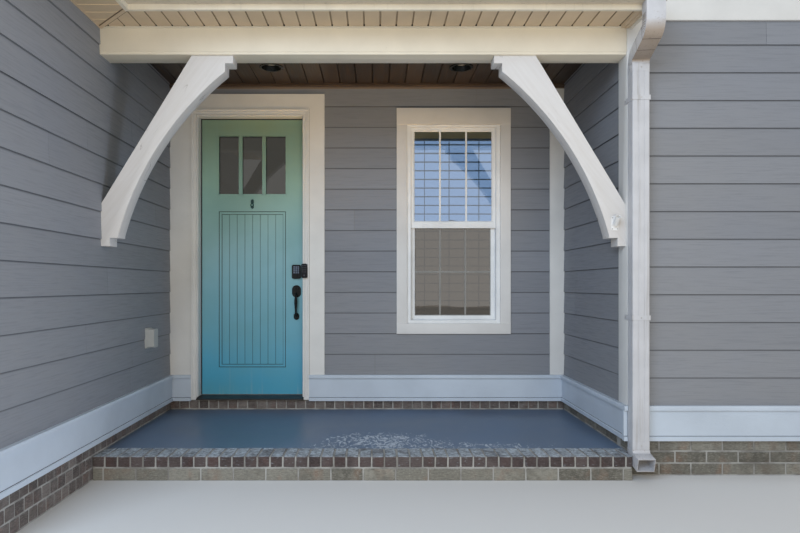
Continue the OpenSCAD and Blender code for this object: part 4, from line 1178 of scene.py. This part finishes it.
def window_blind():
    lo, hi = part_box("window_blind")
    x0, x1, y0, y1 = lo.x - BLIND_PAST, hi.x + BLIND_PAST, lo.y, hi.y
    slats, crown, t, n = Solids(81), 0.004, 0.0022, 6
    arch = [(y0 + (y1 - y0) * i / n, crown * math.sin(math.pi * i / n)) for i in range(n + 1)]
    for k in range(SLAT_N):
        z = SLAT_TOP_Z - k * SLAT_PITCH
        slats.prism([(y, z + h) for y, h in arch] + [(y, z + h + t) for y, h in reversed(arch)],
            "x", x0, x1)
    slats.block((x0, y0, z), (x1, y1, z + 0.014), 0.003)
    slats.block((x0, y0 + 0.006, HEADRAIL_Z + 0.004), (x1, y1, hi.z), 0.002)
    # Valance with a moulded lower edge
    slats.prism([(y0 + 0.006, HEADRAIL_Z), (y0 + 0.006, hi.z), (y0, hi.z),
        (y0, HEADRAIL_Z + 0.016), (y0 + 0.003, HEADRAIL_Z + 0.012),
        (y0 + 0.003, HEADRAIL_Z + 0.004), (y0 + 0.0045, HEADRAIL_Z)], "x", x0, x1)
    cord_r = 0.0012
    for x in CORD_X:
        for y in (y0 + 0.002, (y0 + y1) / 2, y1 - 0.002):
            slats.block((x - cord_r, y - cord_r, z), (x + cord_r, y + cord_r, HEADRAIL_Z), 0.0004)
    slats.build("blind_slats", BLIND, slot="blind", replaces=("window_blind",))


# Door

def light_beads():
    """Beads round each light, on both faces of the leaf."""
    glass_lo, glass_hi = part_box("door_glass")
    z0, z1 = glass_lo.z, glass_hi.z
    light_w, light_gap, lap = 0.175, 0.030, 0.006
    beads, bead_w, bead_d, proud = Solids(91), 0.003, 0.010, 0.0022
    for k in range(3):
        x0 = glass_lo.x + k * (light_w + light_gap)
        x1 = x0 + light_w
        for face, inward in ((leaf_lo.y, 1), (leaf_hi.y, -1)):
            out, deep = face - inward * proud, face + inward * bead_d
            section = ((-lap, out), (-lap, deep), (bead_w, deep), (0.001, out))
            for z, s in ((z0, 1), (z1, -1)):
                beads.prism([(y, z + s * u) for u, y in section], "x", x0 - lap, x1 + lap, 0.5)
            for x, s in ((x0, 1), (x1, -1)):
                beads.prism([(x + s * u, y) for u, y in section], "z", z0 - lap, z1 + lap, 0.5)
    beads.build("light_beads", DOOR_PAINT, DOOR, "door_paint")


def door_surround():
    """Feet under the mouldings, dark lines beside them that are dirty caulk and painted shade, and
    the seal on the stops.
    """
    feet, lines, seal = Solids(93), Solids(94), Solids(92)
    for x0, x1 in ((sill_lo.x - FOOT_W, sill_lo.x), (sill_hi.x, sill_hi.x + FOOT_W)):
        feet.block((x0, slab_y - 0.026, sill_lo.z), (x1, slab_y - 0.004, sill_hi.z + 0.0005),
            0.001)
    feet.build("moulding_feet", WHITE, slot="white_trim")

    # Dark lines along the mouldings' outer edges: dirty caulk and painted shade
    line_w, y0, y1, head = 0.0022, trim_y - 0.0006, trim_y + 0.004, leaf_hi.z + 0.052
    x0, x1 = sill_lo.x - FOOT_W - line_w, sill_hi.x + FOOT_W
    for x in (x0, x1):
        lines.block((x, y0, skirt_top), (x + line_w, y1, head), 0.0002)
    lines.block((x0, y0, head), (x1 + line_w, y1, head + line_w), 0.0002)
    lines.build("casing_caulk_shade", CAULK_AND_SHADE, slot="white_trim")

    stop_y, stop_t, seal_w, seal_t = leaf_lo.y - 0.001, 0.012, 0.008, 0.0035
    x0, x1 = leaf_lo.x - 0.005 + stop_t, leaf_hi.x + 0.007 - stop_t
    head = leaf_hi.z + 0.005 - stop_t
    for x in (x0, x1 - seal_w):
        seal.block((x, stop_y - seal_t, leaf_lo.z), (x + seal_w, stop_y, head), 0.0008)
    seal.block((x0, stop_y - seal_t, head - seal_w), (x1, stop_y, head), 0.0008)
    seal.build("door_seal", BLACK_PLASTIC, slot="black_plastic")


def key_pad(solids, profile, x, y, z, across, down, n):
    """Four rows of three round keys, from the middle of the top row."""
    for i in range(4):
        for j in (-1, 0, 1):
            solids.turned(profile, (x + j * across, y, z - i * down), FRONT, n)


def lock_details():
    """Keys and cylinder of the lock, and the bell's button and keys."""
    lock_lo, lock_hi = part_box("keypad_lock")
    bell_lo, bell_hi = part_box("doorbell")
    keys, barrel, bell = Solids(101), Solids(102), Solids(103)
    x, y = (lock_lo.x + lock_hi.x) / 2, lock_lo.y
    key_pad(keys, [(0.0072, 0), (0.0072, 0.001), (0.00612, 0.0018)], x, y, lock_lo.z + 0.105,
        0.01785, 0.0165, 14)
    keys.build("lock_keys", LOCK_KEYS, DOOR, "black_plastic", smooth=True)
    barrel.turned([(0.0125, 0), (0.0125, 0.004), (0.011, 0.006), (0.004, 0.0055)],
        (x, y, lock_lo.z + 0.026), FRONT, 24)
    barrel.build("lock_cylinder", BLACK, DOOR, "black_metal", smooth=True)
    x, y, z = (bell_lo.x + bell_hi.x) / 2, bell_lo.y, (bell_lo.z + bell_hi.z) / 2
    bell.turned([(0.0075, 0), (0.0075, 0.001), (0.006, 0.0018)], (x, y, z - 0.038), FRONT)
    key_pad(bell, [(0.0042, 0), (0.0042, 0.0008), (0.0034, 0.0013)], x, y, z + 0.045,
        0.0135, 0.018, 12)
    bell.build("bell_buttons", BELL_KEYS, slot="grey_plastic", smooth=True)


# Small fittings

def holder_screws():
    holder_lo, holder_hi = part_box("flag_holder")
    screws, x, plate_y = Solids(111), (holder_lo.x + holder_hi.x) / 2, holder_hi.y - 0.005
    for z in (holder_lo.z + 0.010, holder_lo.z + 0.082):
        for dx in (-0.017, 0.017):
            screws.screw((x + dx, plate_y, z), FRONT)
    screws.build("holder_screws", STEEL, slot="white_metal", smooth=True)


def outlet_ribs():
    """Seam, ribs and hinge on the outlet cover's bubble."""
    lo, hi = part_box("outlet_cover")
    cover, rim, seam_x = Solids(112), 0.002, lo.x + 0.030
    y0, y1, z0, z1 = lo.y + 0.006, hi.y - 0.006, lo.z + 0.007, hi.z - 0.007
    cover.block((seam_x, y0 - rim, z0 - rim), (seam_x + 0.004, y1 + rim, z1 + rim), 0.001)
    for k in range(4):
        z = z0 + 0.028 + k * 0.028
        cover.block((hi.x - 0.0012, y0 + 0.018, z), (hi.x + 0.0012, y1 - 0.018, z + 0.005), 0.0008)
    for y in (y0 + 0.02, y1 - 0.02):
        cover.turned([(0.005, -0.012), (0.005, 0.012)], (lo.x + 0.022, y, z1 + 0.003), (0, 1, 0),
            14)
    cover.build("outlet_cover_ribs", GREY_PLASTIC, slot="grey_plastic")


all_siding()
foundations()
edging()
ceiling_boards()
soffit_panels()
roof_cover()
gutter_hangers()
downspout_details()
rounded_trim()
elbow_folds()
skirt_gap_shade()
window_bars()
window_blind()
light_beads()
door_surround()
lock_details()
holder_screws()
outlet_ribs()


# Studio

def stage_floor(half, z):
    mesh = bpy.data.meshes.new("floor")
    corners = ((-half, -half), (half, -half), (half, half), (-half, half))
    mesh.from_pydata([(*p, z) for p in corners], [], [[0, 1, 2, 3]])
    look = Look("floor", (0.72, 0.72, 0.715), 0.9)
    look.base = look.mix(look.noise(look.place, 0.6, 3), 0.99, 1.01)
    mesh.materials.append(look.finish(None))
    new_object("floor", mesh)


def world_light(level):
    """Even pale light; rays that the viewer sees find plain white."""
    world = bpy.context.scene.world = bpy.data.worlds.new("studio")
    world.use_nodes = True
    world.node_tree.nodes.clear()
    net = Net(world.node_tree)
    path = net.node("LightPath", {}).outputs
    seen = Field(net, path["Is Camera Ray"])
    for ray in ("Is Glossy Ray", "Is Transmission Ray"):
        seen = net.math("MAXIMUM", seen, Field(net, path[ray]))
    light = net.field("Background", {"Color": (1.0, 0.975, 0.94, 1), "Strength": level})
    white = net.field("Background", {"Color": (1, 1, 1, 1), "Strength": 1.0})
    net.node("OutputWorld", {"Surface": net.field("MixShader", {0: seen, 1: light, 2: white})})


def softbox(name, place, target, size, power, colour, spread=180):
    lamp = bpy.data.lights.new(name, "AREA")
    lamp.spread = math.radians(spread)
    lamp.color = colour
    lamp.shape, lamp.size, lamp.size_y, lamp.energy = "RECTANGLE", *size, power
    obj = new_object(name, lamp)
    obj.location = place
    obj.rotation_euler = (Vector(target) - Vector(place)).to_track_quat("-Z", "Y").to_euler()
    obj.visible_glossy = obj.visible_camera = obj.visible_transmission = False


def camera():
    data = bpy.data.cameras.new("camera")
    data.sensor_width, data.lens = 36, 28
    data.shift_x, data.shift_y = 0.031, 0.0236
    obj = bpy.context.scene.camera = new_object("camera", data)
    obj.location = (0.070, -4.671, 1.218)
    obj.rotation_euler = (math.radians(90), 0, 0)


stage_floor(30, -0.0006)
world_light(0.58)
softbox("key", (-3.0, -7.5, 5.0), (0, 0, 1.6), (5, 4), 350, (0.77, 0.96, 1.2))
softbox("side", (6.0, -4.2, 1.8), (-1.7, -2.3, 1.3), (2, 2), 14, (0.84, 0.96, 1.16), 40)
softbox("glow", (0.1, -0.55, 0.22), (0.0, 0.7, 3.2), (2.4, 0.3), 2.9, (1.0, 0.56, 0.14), 40)
softbox("bounce", (0.4, -6.0, 0.6), (0, 0.6, 2.7), (5, 0.8), 29, (1.0, 0.84, 0.56), 90)
camera()
bpy.context.scene.view_settings.view_transform = "Standard"
